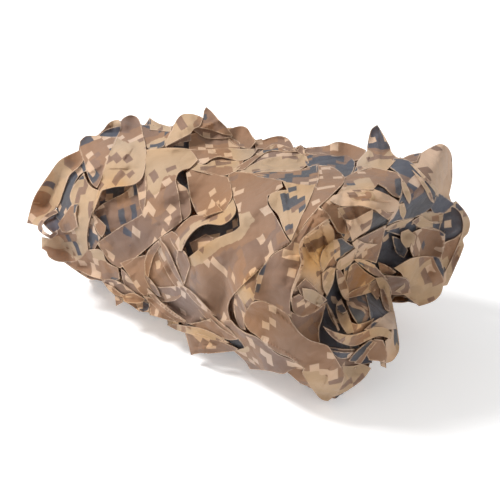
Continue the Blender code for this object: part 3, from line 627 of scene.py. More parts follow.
# The leaves and curled turns of the open end
MOUTH_LEAVES = (
    (1.30, -1., 14, ((408, 162, 1), (420, 154, 1), (430, 148, 0), (440, 144, 0), (447, 147, 0),
     (451, 154, 0), (452, 163, 0), (452, 180, 1), (450, 190, 2), (448, 199, 3), (442, 197, 5),
     (434, 187, 6), (425, 177, 6), (416, 169, 5))),
    (.25, .60, 8, ((402, 159, 1), (410, 155, 1), (421, 153, 1), (417, 162, 3), (408, 163, 3))),
    (.17, .70, 22, ((394, 158, 5), (404, 159, 5), (411, 162, 5), (420, 172, 6), (430, 183, 7),
     (436, 193, 8), (434, 203, 9), (428, 210, 9), (418, 216, 10), (408, 219, 10), (397, 221, 10),
     (387, 225, 10), (393, 213, 8), (398, 203, 7), (402, 190, 6), (400, 176, 6), (390, 168, 5))),
    (.70, .00, 0, ((410, 164, 7), (415, 166, 8), (426, 177, 9), (438, 190, 10), (438, 197, 9),
     (432, 188, 8), (421, 176, 7))),
    (.66, .00, 0, ((412, 170, 7), (420, 177, 8), (430, 190, 9), (434, 203, 10), (430, 200, 9),
     (424, 188, 8))),
    (.12, .60, 0, ((436, 191, 5), (447, 198, 6), (455, 204, 6), (450, 208, 6), (443, 213, 6),
     (433, 213, 6), (430, 205, 6))),
    (.66, .00, 0, ((419, 213, 4), (432, 211, 5), (444, 212, 5), (442, 223, 5), (430, 224, 4), (419, 222, 3))),
    (.70, .10, 0, ((456, 201, 3), (465, 211, 4), (470, 222, 5), (468, 233, 6), (463, 239, 6),
     (464, 246, 6), (456, 266, 6), (447, 285, 6), (442, 286, 5), (442, 278, 5), (450, 262, 5),
     (457, 246, 5), (461, 236, 6), (463, 226, 6), (461, 215, 5), (455, 208, 4), (448, 206, 3))),
    (.00, .80, 0, ((438, 213, -3), (452, 205, -3), (462, 212, -1), (465, 224, 1), (461, 234, 2),
     (452, 241, 1), (442, 242, -2), (438, 228, -3))),
    (.64, .40, 20, ((444, 243, 3), (455, 238, 4), (462, 232, 5), (463, 240, 5), (458, 252, 5),
     (449, 268, 5), (442, 279, 5), (436, 262, 3), (440, 254, 3))),
    (.58, .10, 28, ((411, 233, 3), (425, 227, 4), (437, 229, 5), (445, 234, 5), (444, 248, 5),
     (441, 259, 5), (428, 257, 5), (414, 259, 4), (410, 248, 3), (412, 240, 3))),
    (-.10, .50, 20, ((380, 228, -8), (395, 230, -10), (406, 238, -11), (416, 247, -11), (414, 266, -11),
     (402, 270, -9), (396, 277, -8), (384, 275, -8), (370, 263, -7), (376, 245, -8))),
    (.68, -.5, 16, ((394, 268, 5), (404, 262, 7), (412, 258, 8), (424, 256, 8), (433, 257, 8),
     (438, 268, 8), (443, 278, 7), (443, 286, 6), (440, 295, 5), (432, 302, 4), (419, 306, 3),
     (411, 300, 4), (404, 295, 4), (395, 291, 4), (404, 284, 5), (402, 274, 5))),
    (.10, .70, 0, ((431, 256, 5), (439, 257, 6), (444, 270, 6), (443, 280, 6), (437, 268, 7))),
    (.36, -.5, 0, ((376, 274, 5), (392, 276, 6), (403, 277, 6), (409, 281, 6), (411, 293, 5),
     (402, 295, 4), (391, 295, 3), (388, 284, 4))),
    (.80, .00, 0, ((383, 230, 9), (390, 225, 10), (400, 221, 11), (414, 218, 10), (404, 225, 9),
     (393, 229, 9))),
    (.10, .60, 0, ((386, 231, 0), (400, 225, 0), (414, 220, 0), (426, 226, 0), (422, 233, 0), (404, 236, 0))),
    (.66, .10, 10, ((412, 221, 4), (421, 215, 5), (430, 221, 5), (442, 221, 5), (439, 231, 5),
     (428, 229, 4), (418, 227, 4))),
    (.84, .00, 20, ((401, 232, 3), (408, 229, 4), (416, 236, 4), (414, 245, 3), (406, 248, 2),
     (401, 241, 2))),
    (.20, .60, 12, ((344, 292, -2), (356, 289, -1), (366, 291, 0), (370, 304, 0), (373, 322, 0),
     (358, 325, -2), (351, 314, -3), (346, 301, -3))),
    (.50, -.8, 0, ((348, 320, -1), (356, 324, 1), (366, 322, 2), (374, 318, 3), (366, 330, 4),
     (353, 334, 2))),
    (-.20, .90, 12, ((364, 290, 2), (371, 290, 2), (380, 300, 3), (390, 312, 4), (381, 321, 3),
     (371, 323, 2), (368, 306, 2))),
    (.62, -.6, 6, ((323, 326, 7), (335, 332, 8), (350, 335, 8), (362, 332, 8), (374, 327, 9),
     (386, 328, 9), (392, 334, 9), (390, 339, 8), (380, 336, 8), (368, 340, 8), (354, 346, 7),
     (341, 343, 6), (331, 336, 6))),
    (-.10, .50, 0, ((348, 361, 5), (357, 350, 6), (371, 339, 8), (374, 341, 8), (365, 352, 7),
     (356, 362, 5))),
    (1.2, -.6, 10, ((366, 329, 5), (378, 320, 6), (388, 313, 7), (394, 311, 8), (396, 329, 8),
     (386, 330, 8), (376, 331, 7))),
    (.16, -.4, 0, ((364, 330, 8), (373, 322, 8), (381, 317, 8), (378, 323, 9), (371, 329, 9))),
    (1.0, .70, 10, ((394, 311, 5), (396, 322, 5), (399, 343, 5), (398, 353, 4), (392, 361, 3),
     (385, 363, 3), (386, 350, 6), (385, 341, 7), (390, 336, 7), (392, 326, 6))),
    (.52, -.5, 12, ((374, 339, 6), (383, 340, 7), (387, 352, 7), (386, 363, 4), (378, 361, 3),
     (369, 360, 4), (365, 351, 5), (370, 345, 5))),
    (.54, -.3, 20, ((354, 363, 4), (363, 352, 7), (373, 341, 9), (377, 342, 9), (369, 352, 8),
     (361, 364, 5))),
    (.22, .40, 0, ((328, 347, 0), (345, 349, 0), (362, 348, 0), (356, 360, 0), (362, 366, 0),
     (348, 368, 0), (341, 368, 0))),
    # A backing piece under the lip, dark in tone as painted shade of the cloth beneath it.
    (.10, -.4, 0, ((360, 348, -1), (374, 350, -1), (372, 363, -1), (366, 364, -1), (358, 366, -1))),
    (.60, -.4, 0, ((384, 322, 1), (396, 322, 1), (397, 340, 1), (384, 340, 1))),
    (.34, .00, 0, ((380, 360, 1), (386, 361, 1), (386, 368, 0), (381, 366, 0))),
    (.15, .70, 0, ((384, 160, -1.5), (405, 158, -1.5), (407, 182, -1.5), (386, 180, -1.5))),
    (.76, -.4, 0, ((401, 178, 8), (407, 186, 9), (411, 197, 10), (409, 204, 10), (405, 196, 9),
     (402, 187, 8))),
    (.70, -.4, 0, ((399, 204, 9), (404, 203, 10), (406, 212, 10), (403, 219, 10), (400, 214, 9))),
    (-.10, .20, 0, ((392, 236, -3), (402, 240, -4), (408, 250, -4), (404, 258, -5), (396, 252, -5))),
    (.56, .20, 0, ((378, 262, 0), (388, 266, 0), (396, 272, 1), (390, 276, 1), (380, 272, 0))),
    (.20, .60, 0, ((330, 350, 3), (342, 352, 4), (354, 352, 4), (348, 358, 3), (338, 358, 2))),
)

# Main folds: column and row of their two ends, width of the slow side and height of the fold
CREASES = (
    (303, 246, 296, 286, 9, 2.6), (313, 246, 323, 272, 6, 3.4), (323, 272, 329, 288, 4, 2.6),
    (330, 203, 352, 207, 7, 2.2), (352, 190, 372, 200, 8, 1.8), (361, 262, 372, 276, 6, 2.4),
    (352, 266, 348, 288, 5, 2.4), (385, 283, 389, 306, 3, 2.2), (300, 316, 326, 303, 5, 2.6),
    (160, 236, 181, 222, 4, -2.5), (147, 251, 159, 240, 3, -2.5), (146, 149, 120, 143, 4, -1.5),
    (108, 184, 124, 170, 5, 1.5), (273, 254, 291, 243, 4, -2.0), (291, 243, 318, 208, 5, -1.5),
    (236, 291, 266, 263, 4, -2.0), (228, 180, 238, 230, 7, 1.5), (98, 190, 90, 216, 5, 1.5),
    (60, 210, 74, 204, 4, -1.0), (375, 210, 388, 219, 4, -1.0), (350, 206, 353, 240, 5, 1.5),
    (301, 180, 340, 184, 5, 1.0), (330, 165, 345, 180, 4, 1.5), (165, 262, 186, 288, 3, -1.5),
    (158, 262, 176, 290, 3, 1.5), (200, 152, 236, 148, 4, 1.0), (245, 162, 280, 158, 4, 1.0),
    (306, 279, 326, 298, 3, 1.5), (300, 316, 326, 303, 3, -1.2), (410, 230, 445, 250, 8, 1.0),
    (404, 262, 440, 290, 9, -1.5), (168, 138, 196, 120, 6, 3.0), (190, 134, 180, 116, 4, 1.5),
    (146, 149, 188, 149, 4, 2.0), (146, 200, 176, 181, 6, -2.0), (240, 170, 309, 163, 5, 2.5),
    (283, 205, 302, 216, 5, -2.0), (283, 182, 291, 241, 7, 2.5), (318, 207, 300, 243, 6, 3.0),
    (330, 201, 350, 178, 6, 2.5), (336, 195, 397, 203, 5, -2.5), (350, 206, 362, 232, 5, 3.0),
    (320, 222, 330, 272, 5, -3.5), (306, 236, 322, 262, 4, 3.0), (291, 300, 326, 306, 5, 3.0),
    (300, 334, 322, 316, 6, -2.5), (371, 150, 364, 170, 5, 2.5), (377, 125, 380, 168, 5, 2.5),
    (383, 230, 356, 259, 6, -3.0), (364, 240, 378, 262, 4, 3.0), (430, 256, 420, 300, 8, 2.5),
    (256, 335, 306, 366, 6, 2.5), (268, 305, 300, 334, 8, 2.0), (321, 399, 334, 356, 8, 2.5),
    (340, 366, 352, 388, 6, -2.5), (192, 350, 226, 343, 5, 2.5), (150, 290, 200, 322, 5, -2.5),
    (74, 206, 80, 250, 5, -2.5), (104, 170, 146, 168, 6, -2.0),
)

solid = bpy.data.objects["net_roll"]
feeler = BVHTree.FromPolygons([v.co for v in solid.data.vertices], [p.vertices for p in solid.data.polygons])


def felt_distance(column, row):
    """How far from the camera the solid is along a sight line, or where that line passes it closest."""
    ray = sight_line(column, row)
    hit = feeler.ray_cast(camera_eye, ray)
    if hit[0]:
        return hit[3]
    reach = CAMERA_DISTANCE
    for _ in range(6):
        reach = (feeler.find_nearest(camera_eye + ray * reach)[0] - camera_eye).dot(ray)
    return reach


def softened(grid, passes):
    """A grid of numbers, each blended with its neighbours."""
    for _ in range(passes):
        padded = np.pad(grid, 1, mode="edge")
        grid = (padded[1:-1, 1:-1] * 2 + padded[:-2, 1:-1] + padded[2:, 1:-1] + padded[1:-1, :-2]
                + padded[1:-1, 2:]) / 6
    return grid


felt_side = PHOTO_SIDE // GRID + 1
felt = np.array([[felt_distance(c * GRID, r * GRID) for c in range(felt_side)] for r in range(felt_side)])
felt = softened(felt, 7)


def read_grid(grid, places):
    """The numbers of a grid at places between its own, column and row."""
    place = np.clip(places, 0, np.array(grid.shape[::-1]) - 1.001)
    low = place.astype(int)
    c, r = (place - low).T
    x, y = low.T
    return (grid[y, x] * (1 - c) + grid[y, x + 1] * c) * (1 - r) + (grid[y + 1, x] * (1 - c)
                                                                     + grid[y + 1, x + 1] * c) * r


def shares(points, spots):
    """How much each point is reached by a table's spots."""
    total = np.zeros(len(points))
    for column, row, reach, share in spots:
        total += share * np.exp(-((points - (column, row)) ** 2).sum(axis=1) / reach ** 2)
    return total


def drawn_outline(row_points, tone, fine):
    """An outline with its curves filled in: column, row, height and tone at every two or three pixels."""
    marks = np.array([list(p) + [tone] * (4 - len(p)) for p in row_points], float)
    after = np.roll(marks, -1, axis=0)
    before = np.roll(marks, 1, axis=0)
    ahead, behind = after - marks, marks - before
    bend = np.degrees(np.abs(np.angle(np.exp(1j * (np.arctan2(ahead[:, 1], ahead[:, 0])
                                                   - np.arctan2(behind[:, 1], behind[:, 0]))))))
    slope = (after - before) / 2
    slope[bend > CORNER] = 0
    drawn = []
    for k in range(len(marks)):
        n = (k + 1) % len(marks)
        far = np.hypot(*ahead[k, :2])
        pull = [min(1.0, far / (np.hypot(*slope[end, :2]) + 1e-6)) for end in (k, n)]
        steps = max(1, round(far / fine))
        for t in np.arange(steps) / steps:
            h = 2 * t ** 3 - 3 * t ** 2
            here = ((1 + h) * marks[k] + (t ** 3 - 2 * t ** 2 + t) * pull[0] * slope[k]
                    - h * marks[n] + (t ** 3 - t ** 2) * pull[1] * slope[n])
            here[3] = marks[k, 3] * (1 - t) + marks[n, 3] * t
            drawn.append(here)
    return np.array(drawn)


def inside(points, outline):
    """Which points lie within a closed outline."""
    x, y = points.T
    found = np.zeros(len(points), bool)
    for (ax, ay), (bx, by) in zip(outline, np.roll(outline, -1, axis=0)):
        crosses = (ay > y) != (by > y)
        found ^= crosses & (x < (bx - ax) * (y - ay) / ((by - ay) or 1e-9) + ax)
    return found


def faceted(seed, wide, high):
    """The crumpling that the layers share: a grid of heights, flat between corners of random height."""
    rng = np.random.default_rng(seed)
    total = np.zeros((high, wide))
    down, across = np.mgrid[0:high, 0:wide].astype(float)
    for gap, rise in FACETS:
        corners = [(x + rng.uniform(-0.4, 0.4) * gap, y + rng.uniform(-0.4, 0.4) * gap)
                   for x in np.arange(-gap, wide + 2 * gap, gap)
                   for y in np.arange(-gap, high + 2 * gap, gap * 0.9)]
        corners, _, faces = delaunay_2d_cdt([Vector(p) for p in corners], [], [], 0, 1e-4)[:3]
        heights = rng.uniform(0, rise, len(corners))
        for face in faces:
            a, b, c = (corners[k] for k in face)
            x0, x1 = max(0, math.floor(min(a.x, b.x, c.x))), max(0, math.ceil(max(a.x, b.x, c.x)) + 1)
            y0, y1 = max(0, math.floor(min(a.y, b.y, c.y))), max(0, math.ceil(max(a.y, b.y, c.y)) + 1)
            x, y = across[y0:y1, x0:x1] - a.x, down[y0:y1, x0:x1] - a.y
            whole = (b.x - a.x) * (c.y - a.y) - (b.y - a.y) * (c.x - a.x)
            u = (x * (c.y - a.y) - y * (c.x - a.x)) / whole
            v = (y * (b.x - a.x) - x * (b.y - a.y)) / whole
            here = (u >= 0) & (v > 0) & (u + v <= 1)
            level = heights[face[0]] * (1 - u - v) + heights[face[1]] * u + heights[face[2]] * v
            total[y0:y1, x0:x1][here] += level[here]
    return total


def bent(points, seed, size):
    """Heights of one leaf's own bend and of a few sharp small folds across it."""
    rng = np.random.default_rng(seed)
    middle = points.mean(axis=0)
    turn = rng.uniform(0, math.pi)
    height = ((points - middle) @ (math.cos(turn), math.sin(turn)) / size) ** 2 * rng.uniform(-1, 1) * ROLL_UP
    for _ in range(1 + int(size / 22)):
        turn = rng.uniform(0, math.pi)
        through = middle + rng.normal(0, size / 3.5, 2)
        off = (points - through) @ (math.cos(turn), math.sin(turn))
        wide = rng.uniform(3, 6)
        height += rng.choice((-1, 1)) * rng.uniform(0.4, 0.9) * np.clip(1 - np.abs(off) / wide, 0, 1)
    return height


def folds_height(points, folds):
    """Heights of folds: each rises slowly on one side of its line, and drops at once on the other."""
    height = np.zeros(len(points))
    for ax, ay, bx, by, wide, rise in folds:
        line = np.array((bx - ax, by - ay))
        off = points - (ax, ay)
        t = np.clip(off @ line / (line @ line), 0, 1)
        far = np.hypot(*(off - t[:, None] * line).T)
        beyond = off[:, 0] * line[1] > off[:, 1] * line[0]
        height += rise * np.clip(1 - far / np.where(beyond, DROP, wide), 0, 1) * (1 - (2 * t - 1) ** 4)
    return height


def small_folds(seed):
    """The many small folds that run across the leaves, most of them along the wound cloth's slant."""
    rng = np.random.default_rng(seed)
    folds = []
    for _ in range(SMALL_FOLDS):
        x, y = rng.uniform(30, 470), rng.uniform(110, 400)
        turn = math.radians(rng.normal(-38, 38))
        reach = rng.uniform(6, 20)
        step = math.cos(turn) * reach, math.sin(turn) * reach
        side = rng.choice((-1, 1))
        folds.append((x - side * step[0], y - side * step[1], x + side * step[0], y + side * step[1],
                      rng.uniform(3, 9), rng.uniform(1.2, 3.6)))
    return folds


front_facets = faceted(5, PHOTO_SIDE, PHOTO_SIDE)
down, across = np.mgrid[0:PHOTO_SIDE, 0:PHOTO_SIDE].astype(float)
pixels = np.stack([across.ravel(), down.ravel()], axis=1)
for fold in small_folds(12):
    near = np.flatnonzero(np.hypot(*(pixels - ((fold[0] + fold[2]) / 2, (fold[1] + fold[3]) / 2)).T) < 32)
    front_facets.ravel()[near] += folds_height(pixels[near], [fold])


def in_photograph(points, height):
    """Places in the photograph, on the solid as the camera sees it, raised towards the camera."""
    crumpled = read_grid(front_facets, points) * (1 - np.minimum(shares(points, CALM), 0.85))
    distance = read_grid(felt, points / GRID) - (height + crumpled + folds_height(points, CREASES)) / 1000
    rays = np.array([tuple(sight_line(*p)) for p in points])
    return np.array(camera_eye) + rays * distance[:, None]


def seen_at(points):
    """Where in the photograph points in space are seen: columns and rows."""
    seen = (np.array(points) - np.array(camera_eye)) @ np.array(camera_turn.to_matrix())
    scale = CAMERA_LENS / CAMERA_SENSOR * PHOTO_SIDE
    return np.stack([PHOTO_SIDE / 2 - seen[:, 0] / seen[:, 2] * scale,
                     PHOTO_SIDE / 2 + seen[:, 1] / seen[:, 2] * scale], axis=1)


def cloth_grid():
    """An empty mesh with what the finish reads: places on the cloth, tone (partly painted light and shade),
    dark squares, fray (partly a painted highlight) and the painted glow and hue.
    """
    grid = bmesh.new()
    uv = grid.loops.layers.uv.new("cloth")
    return grid, (uv, *(grid.verts.layers.float.new(n) for n in ("tone", "dark", "fray", "glow_and_hue")))


def leaf_of_outline(mesh, layers, row, seed, placed, outwards, painted_rim_highlights=False, fine=FINE):
    """Adds one leaf to a piece's mesh: its outline filled with points, set in place, and creased."""
    uv, tones, darks, fray_and_highlight = layers[:4]
    tone, dark, turn, row_points = row[:4]
    outline = drawn_outline(row_points, tone, fine)
    low, high = outline[:, :2].min(axis=0), outline[:, :2].max(axis=0)
    size = float(np.hypot(*(high - low)))
    across = np.arange(low[0], high[0], fine)
    down = np.arange(low[1], high[1], fine * 0.87)
    net = np.array([(x + fine / 2 * (j % 2), y) for j, y in enumerate(down) for x in across])
    net = net[inside(net, outline[:, :2])]
    gap = np.sqrt(((net[:, None] - outline[None, :, :2]) ** 2).sum(axis=2)).min(axis=1) if len(net) else net
    net = net[gap > fine * 0.55] if len(net) else net.reshape(0, 2)
    flat = np.concatenate([outline[:, :2], net])
    edges = [(k, (k + 1) % len(outline)) for k in range(len(outline))]
    made = delaunay_2d_cdt([Vector(p) for p in flat], edges, [], 1, 1e-4)
    flat = np.array([tuple(p) for p in made[0]])
    far = ((flat[:, None] - outline[None, :, :2]) ** 2).sum(axis=2)
    weight = 1 / (far + 0.05) ** 1.25
    height = weight @ outline[:, 2] / weight.sum(axis=1) * LAYER
    weight = weight ** 2
    # Each point's tone, blended from the outline's tones and the row's places: the print, and in places
    # painted light and shade.
    shade, whole = weight @ outline[:, 3], weight.sum(axis=1)
    for column, down_to, value in row[4] if len(row) > 4 else ():
        near = 8 / (((flat - (column, down_to)) ** 2).sum(axis=1) + 0.05) ** 2.5
        shade, whole = shade + near * value, whole + near
    shade /= whole
    in_from_edge = np.sqrt(far.min(axis=1))
    height -= HOLLOW * (1 - np.exp(-in_from_edge / 5))
    height += bent(flat, seed, size)
    spread = placed(flat, height)
    centre = spread.mean(axis=0)
    normal = np.linalg.svd(spread - centre, full_matrices=False)[2][2]
    side = camera_turn @ Vector((math.cos(math.radians(turn)), math.sin(math.radians(turn)), 0))
    side = np.array(side) - normal * np.dot(normal, side)
    side /= np.linalg.norm(side)
    cloth_of = {}
    rng = np.random.default_rng(seed + 900)
    shift = rng.uniform(0, 7, 2)
    across_side = np.cross(normal, side)
    sheet_uv = np.stack([(spread - centre) @ side, (spread - centre) @ across_side], axis=1) + shift
    verts = [mesh.verts.new(p) for p in spread]
    for vert, value, cloth_place, inwards in zip(verts, shade, sheet_uv, in_from_edge):
        vert[tones] = float(value)
        vert[darks] = dark
        # The pale edge: fray and a painted highlight, in a wider band on the leaves whose rims are painted
        # bright.
        vert[fray_and_highlight] = 1.0 if inwards < 0.2 else 0.3 * (inwards < 2.2) * painted_rim_highlights
        cloth_of[vert] = cloth_place
    for face in made[2]:
        if len(set(face)) < 3:
            continue
        built = mesh.faces.new([verts[k] for k in face])
        built.normal_update()
        if built.normal.dot(outwards(centre)) < 0:
            built.normal_flip()
        for loop in built.loops:
            loop[uv].uv = cloth_of[loop.vert]
    return outline[:, :2], float(outline[:, 2].mean())


def leaves_piece(name, rows, painted_rim_highlights=False):
    """One piece of the net: all the leaves of a table."""
    grid, layers = cloth_grid()
    for number, row in enumerate(rows):
        outline, height = leaf_of_outline(grid, layers, row, len(name) * 100 + number, in_photograph,
                                          lambda centre: towards_camera, painted_rim_highlights)
        if height < SUNK:
            openings.append((outline, height))
    # Painted glow and hue: each point's share of the table of warmer and cooler places.
    for vert, share in zip(grid.verts, shares(seen_at([v.co for v in grid.verts]), GLOW_AND_HUE)):
        vert[layers[4]] = float(np.clip(share, -1, 1.6))
    return sheet_piece(name, grid)


SUNK = -2.0               # millimetres: a leaf as deep as this is seen through an opening in the outer turns
openings = []
leaves_piece("left_leaves", LEFT_LEAVES)
leaves_piece("upper_leaves", UPPER_LEAVES)
leaves_piece("middle_leaves", MIDDLE_LEAVES)
leaves_piece("front_leaves", FRONT_LEAVES)
# Painted highlights: the rims of the pocket and mouth leaves get a wider pale band.
leaves_piece("pocket_leaves", POCKET_LEAVES, True)
leaves_piece("mouth_leaves", MOUTH_LEAVES, True)


# The wound cloth: one long polyester sheet rolled up loosely by hand, each turn inside the next, wider and
# flatter towards +X. Its outer turn ends in a free edge low on the front, under the leaves.
STEP = 0.007              # the step at the outer turn's free edge, and its angle
STEP_ANGLE = -30.0
FLOOR_CUT = 0.0025        # how far the roll is sunk, so that its underside lies flat
SQUARENESS = 0.86         # 1 is a round roll, less is squarer
RIM_REACH = 0.16          # how far along the roll the rim's unevenness is felt
TURNS = 4.2
TURN_PITCH = 0.0155
ALONG_STEPS = 110
ROUND_STEPS = 96          # in each turn
RAGGED = 0.016            # how unevenly the inner turns end along X
MOUTH_DEPTH = 0.045       # how far back from the rim the inner turns end, at the wide end and the narrow one
TAIL_DEPTH = 0.016
UNDER_LEAVES = 0.0035     # how deep the outer turn lies under the leaves
OUTER_CLOTH = (0.42, 0.25)            # tone and share of dark squares of the outer turn and the inner ones
# The inner turns are darker, with more blue-black squares, partly as painted shade inside the roll.
INNER_CLOTH = (0.30, 0.55)
# swells of the cloth: height, how often along X, shift, degrees round
WAVES = ((0.0022, 38, 0, 34), (0.0030, 14, 7, 60))
RIDGES = (0.0040, 30, 3, 28)

# along X, lowest point, centre line across, width, height
SECTIONS = (
    (-0.198, 0.040, 0.012, 0.090, 0.094),
    (-0.175, 0.016, 0.012, 0.130, 0.144),
    (-0.115, 0.000, 0.010, 0.158, 0.172),
    (-0.040, 0.000, 0.006, 0.176, 0.180),
    (0.040, 0.000, 0.002, 0.200, 0.190),
    (0.110, 0.000, -0.004, 0.228, 0.202),
    (0.162, 0.000, -0.006, 0.240, 0.206),
    (0.188, 0.006, -0.004, 0.222, 0.192),
)

# along X, angle, reach along X, reach round (degrees), height of a swell or hollow
LUMPS = (
    (-0.150, 70, 0.040, 34, 0.006),
    (-0.080, 20, 0.050, 30, -0.007),
    (-0.060, 95, 0.040, 26, 0.010),
    (0.010, 60, 0.050, 22, -0.008),
    (0.050, 110, 0.045, 24, -0.007),
    (0.100, 40, 0.060, 26, 0.009),
    (0.110, -10, 0.050, 24, -0.006),
    (0.130, 112, 0.040, 16, -0.010),
    (0.160, 140, 0.045, 24, 0.010),
    (-0.020, 160, 0.060, 30, 0.008),
    (0.060, 190, 0.050, 26, -0.009),
    (-0.110, 200, 0.050, 30, -0.006),
    (0.195, 248, 0.060, 24, -0.060),
)

# How the open rim runs out or back: end, angle, reach round (degrees), shift along X
RIM = (
    (1, 8, 52, -0.046),
    (1, 252, 30, -0.030),
    (1, 125, 50, 0.012),
    (1, 195, 30, 0.014),
    (-1, 150, 60, -0.010),
    (-1, 300, 50, 0.012),
)

# The roll's outline in the photograph, beyond which no cloth of the sides and back shows, how far that cloth
# is moved in to get there, and how far it stays behind the leaves of the front
ROLL_OUTLINE = (
    (27, 223), (34, 198), (56, 166), (61, 160), (80, 151), (80, 141), (86, 136), (97, 136), (104, 129),
    (112, 122), (118, 120), (121, 122), (124, 117.5), (131, 115), (138, 118), (141, 125), (148, 125),
    (149, 117.5), (159, 124), (172, 127), (179, 117.5), (184, 114), (198, 115), (202.5, 113.5), (206, 107),
    (226, 128), (239, 126), (250, 132.6), (256, 141), (267, 139), (275, 136.6), (287, 138), (293, 148),
    (301, 145), (305, 148), (326, 146), (336, 142.5), (352, 143.5), (364, 148.6), (367, 145), (371, 129),
    (377, 125), (391, 145), (395, 155), (405, 159), (421, 153), (430, 147), (440, 144.6), (449, 150),
    (452, 160), (452, 179), (448, 198), (456, 201), (465, 211), (470, 222), (468, 233), (463, 239),
    (464, 246), (456, 266), (447, 284), (443, 286), (438, 298), (430, 303), (419, 306), (409, 298),
    (401, 294), (391, 294), (392, 308), (396, 326), (399, 343), (398, 353), (392, 361), (386, 362),
    (381, 366), (378, 361), (370, 360), (366, 363), (371, 368), (363, 379), (351, 388), (335, 399),
    (327, 401), (320, 399), (312, 389), (300, 383), (288, 372), (281, 371), (250, 369), (244, 359),
    (234, 351), (191, 355), (185, 332), (177, 330), (167, 325), (173, 321), (150, 315), (149, 312),
    (142, 312), (132, 305), (123, 301), (118, 298), (108, 289), (104, 281), (89, 278), (72, 268),
    (62, 260), (56, 262), (49, 257), (46, 251), (42, 249), (38, 226),
)
PULLED_IN = (3, 6, 10, 15, 21)        # millimetres
BEHIND = 0.002
OPENING_DEPTH = 0.003     # how far before an opening's bottom the cloth is cut away


def between_rows(rows, x):
    """The row of a table at x, eased between the two rows on each side of it."""
    if x <= rows[0][0]:
        return rows[0][1:]
    for near, far in zip(rows, rows[1:]):
        if x <= far[0]:
            t = (x - near[0]) / (far[0] - near[0])
            t = t * t * (3 - 2 * t) * 0.5 + t * 0.5
            return [a + (b - a) * t for a, b in zip(near[1:], far[1:])]
    return rows[-1][1:]


def round_gap(angle, other):
    """Degrees between two angles, the short way round."""
    return (angle - other + 180) % 360 - 180


def on_roll(x, angle, out=0.0):
    """The point on the wound surface at x and angle (degrees), moved out from it."""
    low, middle, width, height = between_rows(SECTIONS, x)
    turn = math.radians(angle)
    across, up = math.cos(turn), math.sin(turn)
    across = math.copysign(abs(across) ** SQUARENESS, across)
    up = math.copysign(abs(up) ** SQUARENESS, up)
    for lump_x, lump_angle, reach_x, reach_round, rise in LUMPS:
        far = ((x - lump_x) / reach_x) ** 2 + (round_gap(angle, lump_angle) / reach_round) ** 2
        out += rise * math.exp(-far)
    out += STEP * (((angle - STEP_ANGLE) % 360) / 360 - 0.5)
    ray = Vector((0, -across * width / 2, up * height / 2))
    ray *= max(0.05, 1 + out / ray.length)
    shift = 0.0
    for end, rim_angle, reach_round, far in RIM:
        edge = SECTIONS[0][0] if end < 0 else SECTIONS[-1][0]
        near = max(0.0, 1 - abs(edge - x) / RIM_REACH)
        shift += far * near * near * math.exp(-(round_gap(angle, rim_angle) / reach_round) ** 2)
    return Vector((x + shift, middle, low + height / 2 - FLOOR_CUT)) + ray


def in_the_way(places):
    """Which places in space would be seen in front of the front's leaves."""
    away = np.linalg.norm(places - np.array(camera_eye), axis=1)
    return away < read_grid(felt, seen_at(places) / GRID) + BEHIND


def kept_back(place_at, outs):
    """Places on the roll, moved in until they are within the outline and behind the front leaves."""
    places = np.array([place_at(k, out) for k, out in enumerate(outs)])
    for drop in PULLED_IN:
        for k in np.flatnonzero(~inside(seen_at(places), ROLL_OUTLINE) | in_the_way(places)):
            places[k] = place_at(k, outs[k] - drop / 1000)
    return places


def clear_view(grid):
    """Takes away the faces that would still hide the front's leaves, or that lie before an opening."""
    faces = list(grid.faces)
    centres = np.array([tuple(f.calc_center_median()) for f in faces])
    places = seen_at(centres)
    away = np.linalg.norm(centres - np.array(camera_eye), axis=1)
    gone = in_the_way(centres)
    seen_through = read_grid(felt, places / GRID)
    for outline, height in openings:
        gone |= inside(places, outline) & (away < seen_through - height / 1000 + OPENING_DEPTH)
    bmesh.ops.delete(grid, geom=[f for f, out in zip(faces, gone) if out], context="FACES")


def wound_sheet():
    """The rolled sheet as a grid: round the spiral from its inner end, and along X."""
    first, last = SECTIONS[0][0], SECTIONS[-1][0]
    grid, (uv, tones, darks, *_) = cloth_grid()
    rows = []
    for k in range(int(TURNS * ROUND_STEPS) + 1):
        angle = STEP_ANGLE + 360 * (k / ROUND_STEPS - TURNS)
        depth = TURN_PITCH * (TURNS - k / ROUND_STEPS)
        tone, dark = OUTER_CLOTH if depth / TURN_PITCH < 1.02 else INNER_CLOTH
        along, outs = [], []

        def swell(x, often, shift, wide):
            return noise.noise(Vector((x * often + shift, angle / wide, depth * 60)))

        for n in range(ALONG_STEPS + 1):
            t = n / ALONG_STEPS
            wide_end = t > 0.5
            ragged = noise.noise(Vector((angle / 40, depth * 90, 5.0 if wide_end else 9.0)))
            inner = min(1.0, max(0.0, depth / TURN_PITCH - 0.7) * 3)
            back = inner * (RAGGED * ragged + (MOUTH_DEPTH if wide_end else TAIL_DEPTH))
            x = first + (last - first) * t - back * (2 * t - 1)
            wave = sum(high * swell(x, often, shift, wide) for high, often, shift, wide in WAVES)
            wave += RIDGES[0] * (0.25 - abs(swell(x, *RIDGES[1:])))
            along.append(x)
            outs.append(wave - UNDER_LEAVES - depth)

        def place_at(n, out):
            place = on_roll(along[n], angle, out)
            return place.x, place.y, max(place.z, 0.0004 + depth * 0.25)

        line = [grid.verts.new(place) for place in kept_back(place_at, outs)]
        for vert in line:
            vert[tones] = tone
            vert[darks] = dark
        rows.append(line)
    arc = 0.0
    for near, far in zip(rows, rows[1:]):
        span = (near[ALONG_STEPS // 2].co - far[ALONG_STEPS // 2].co).length
        for n in range(ALONG_STEPS):
            face = grid.faces.new((near[n], far[n], far[n + 1], near[n + 1]))
            for loop in face.loops:
                loop[uv].uv = (loop.vert.co.x, arc + (0 if loop.vert in (near[n], near[n + 1]) else span))
        arc += span
    return grid


grid = wound_sheet()
clear_view(grid)
sheet_piece("wound_sheet", grid)

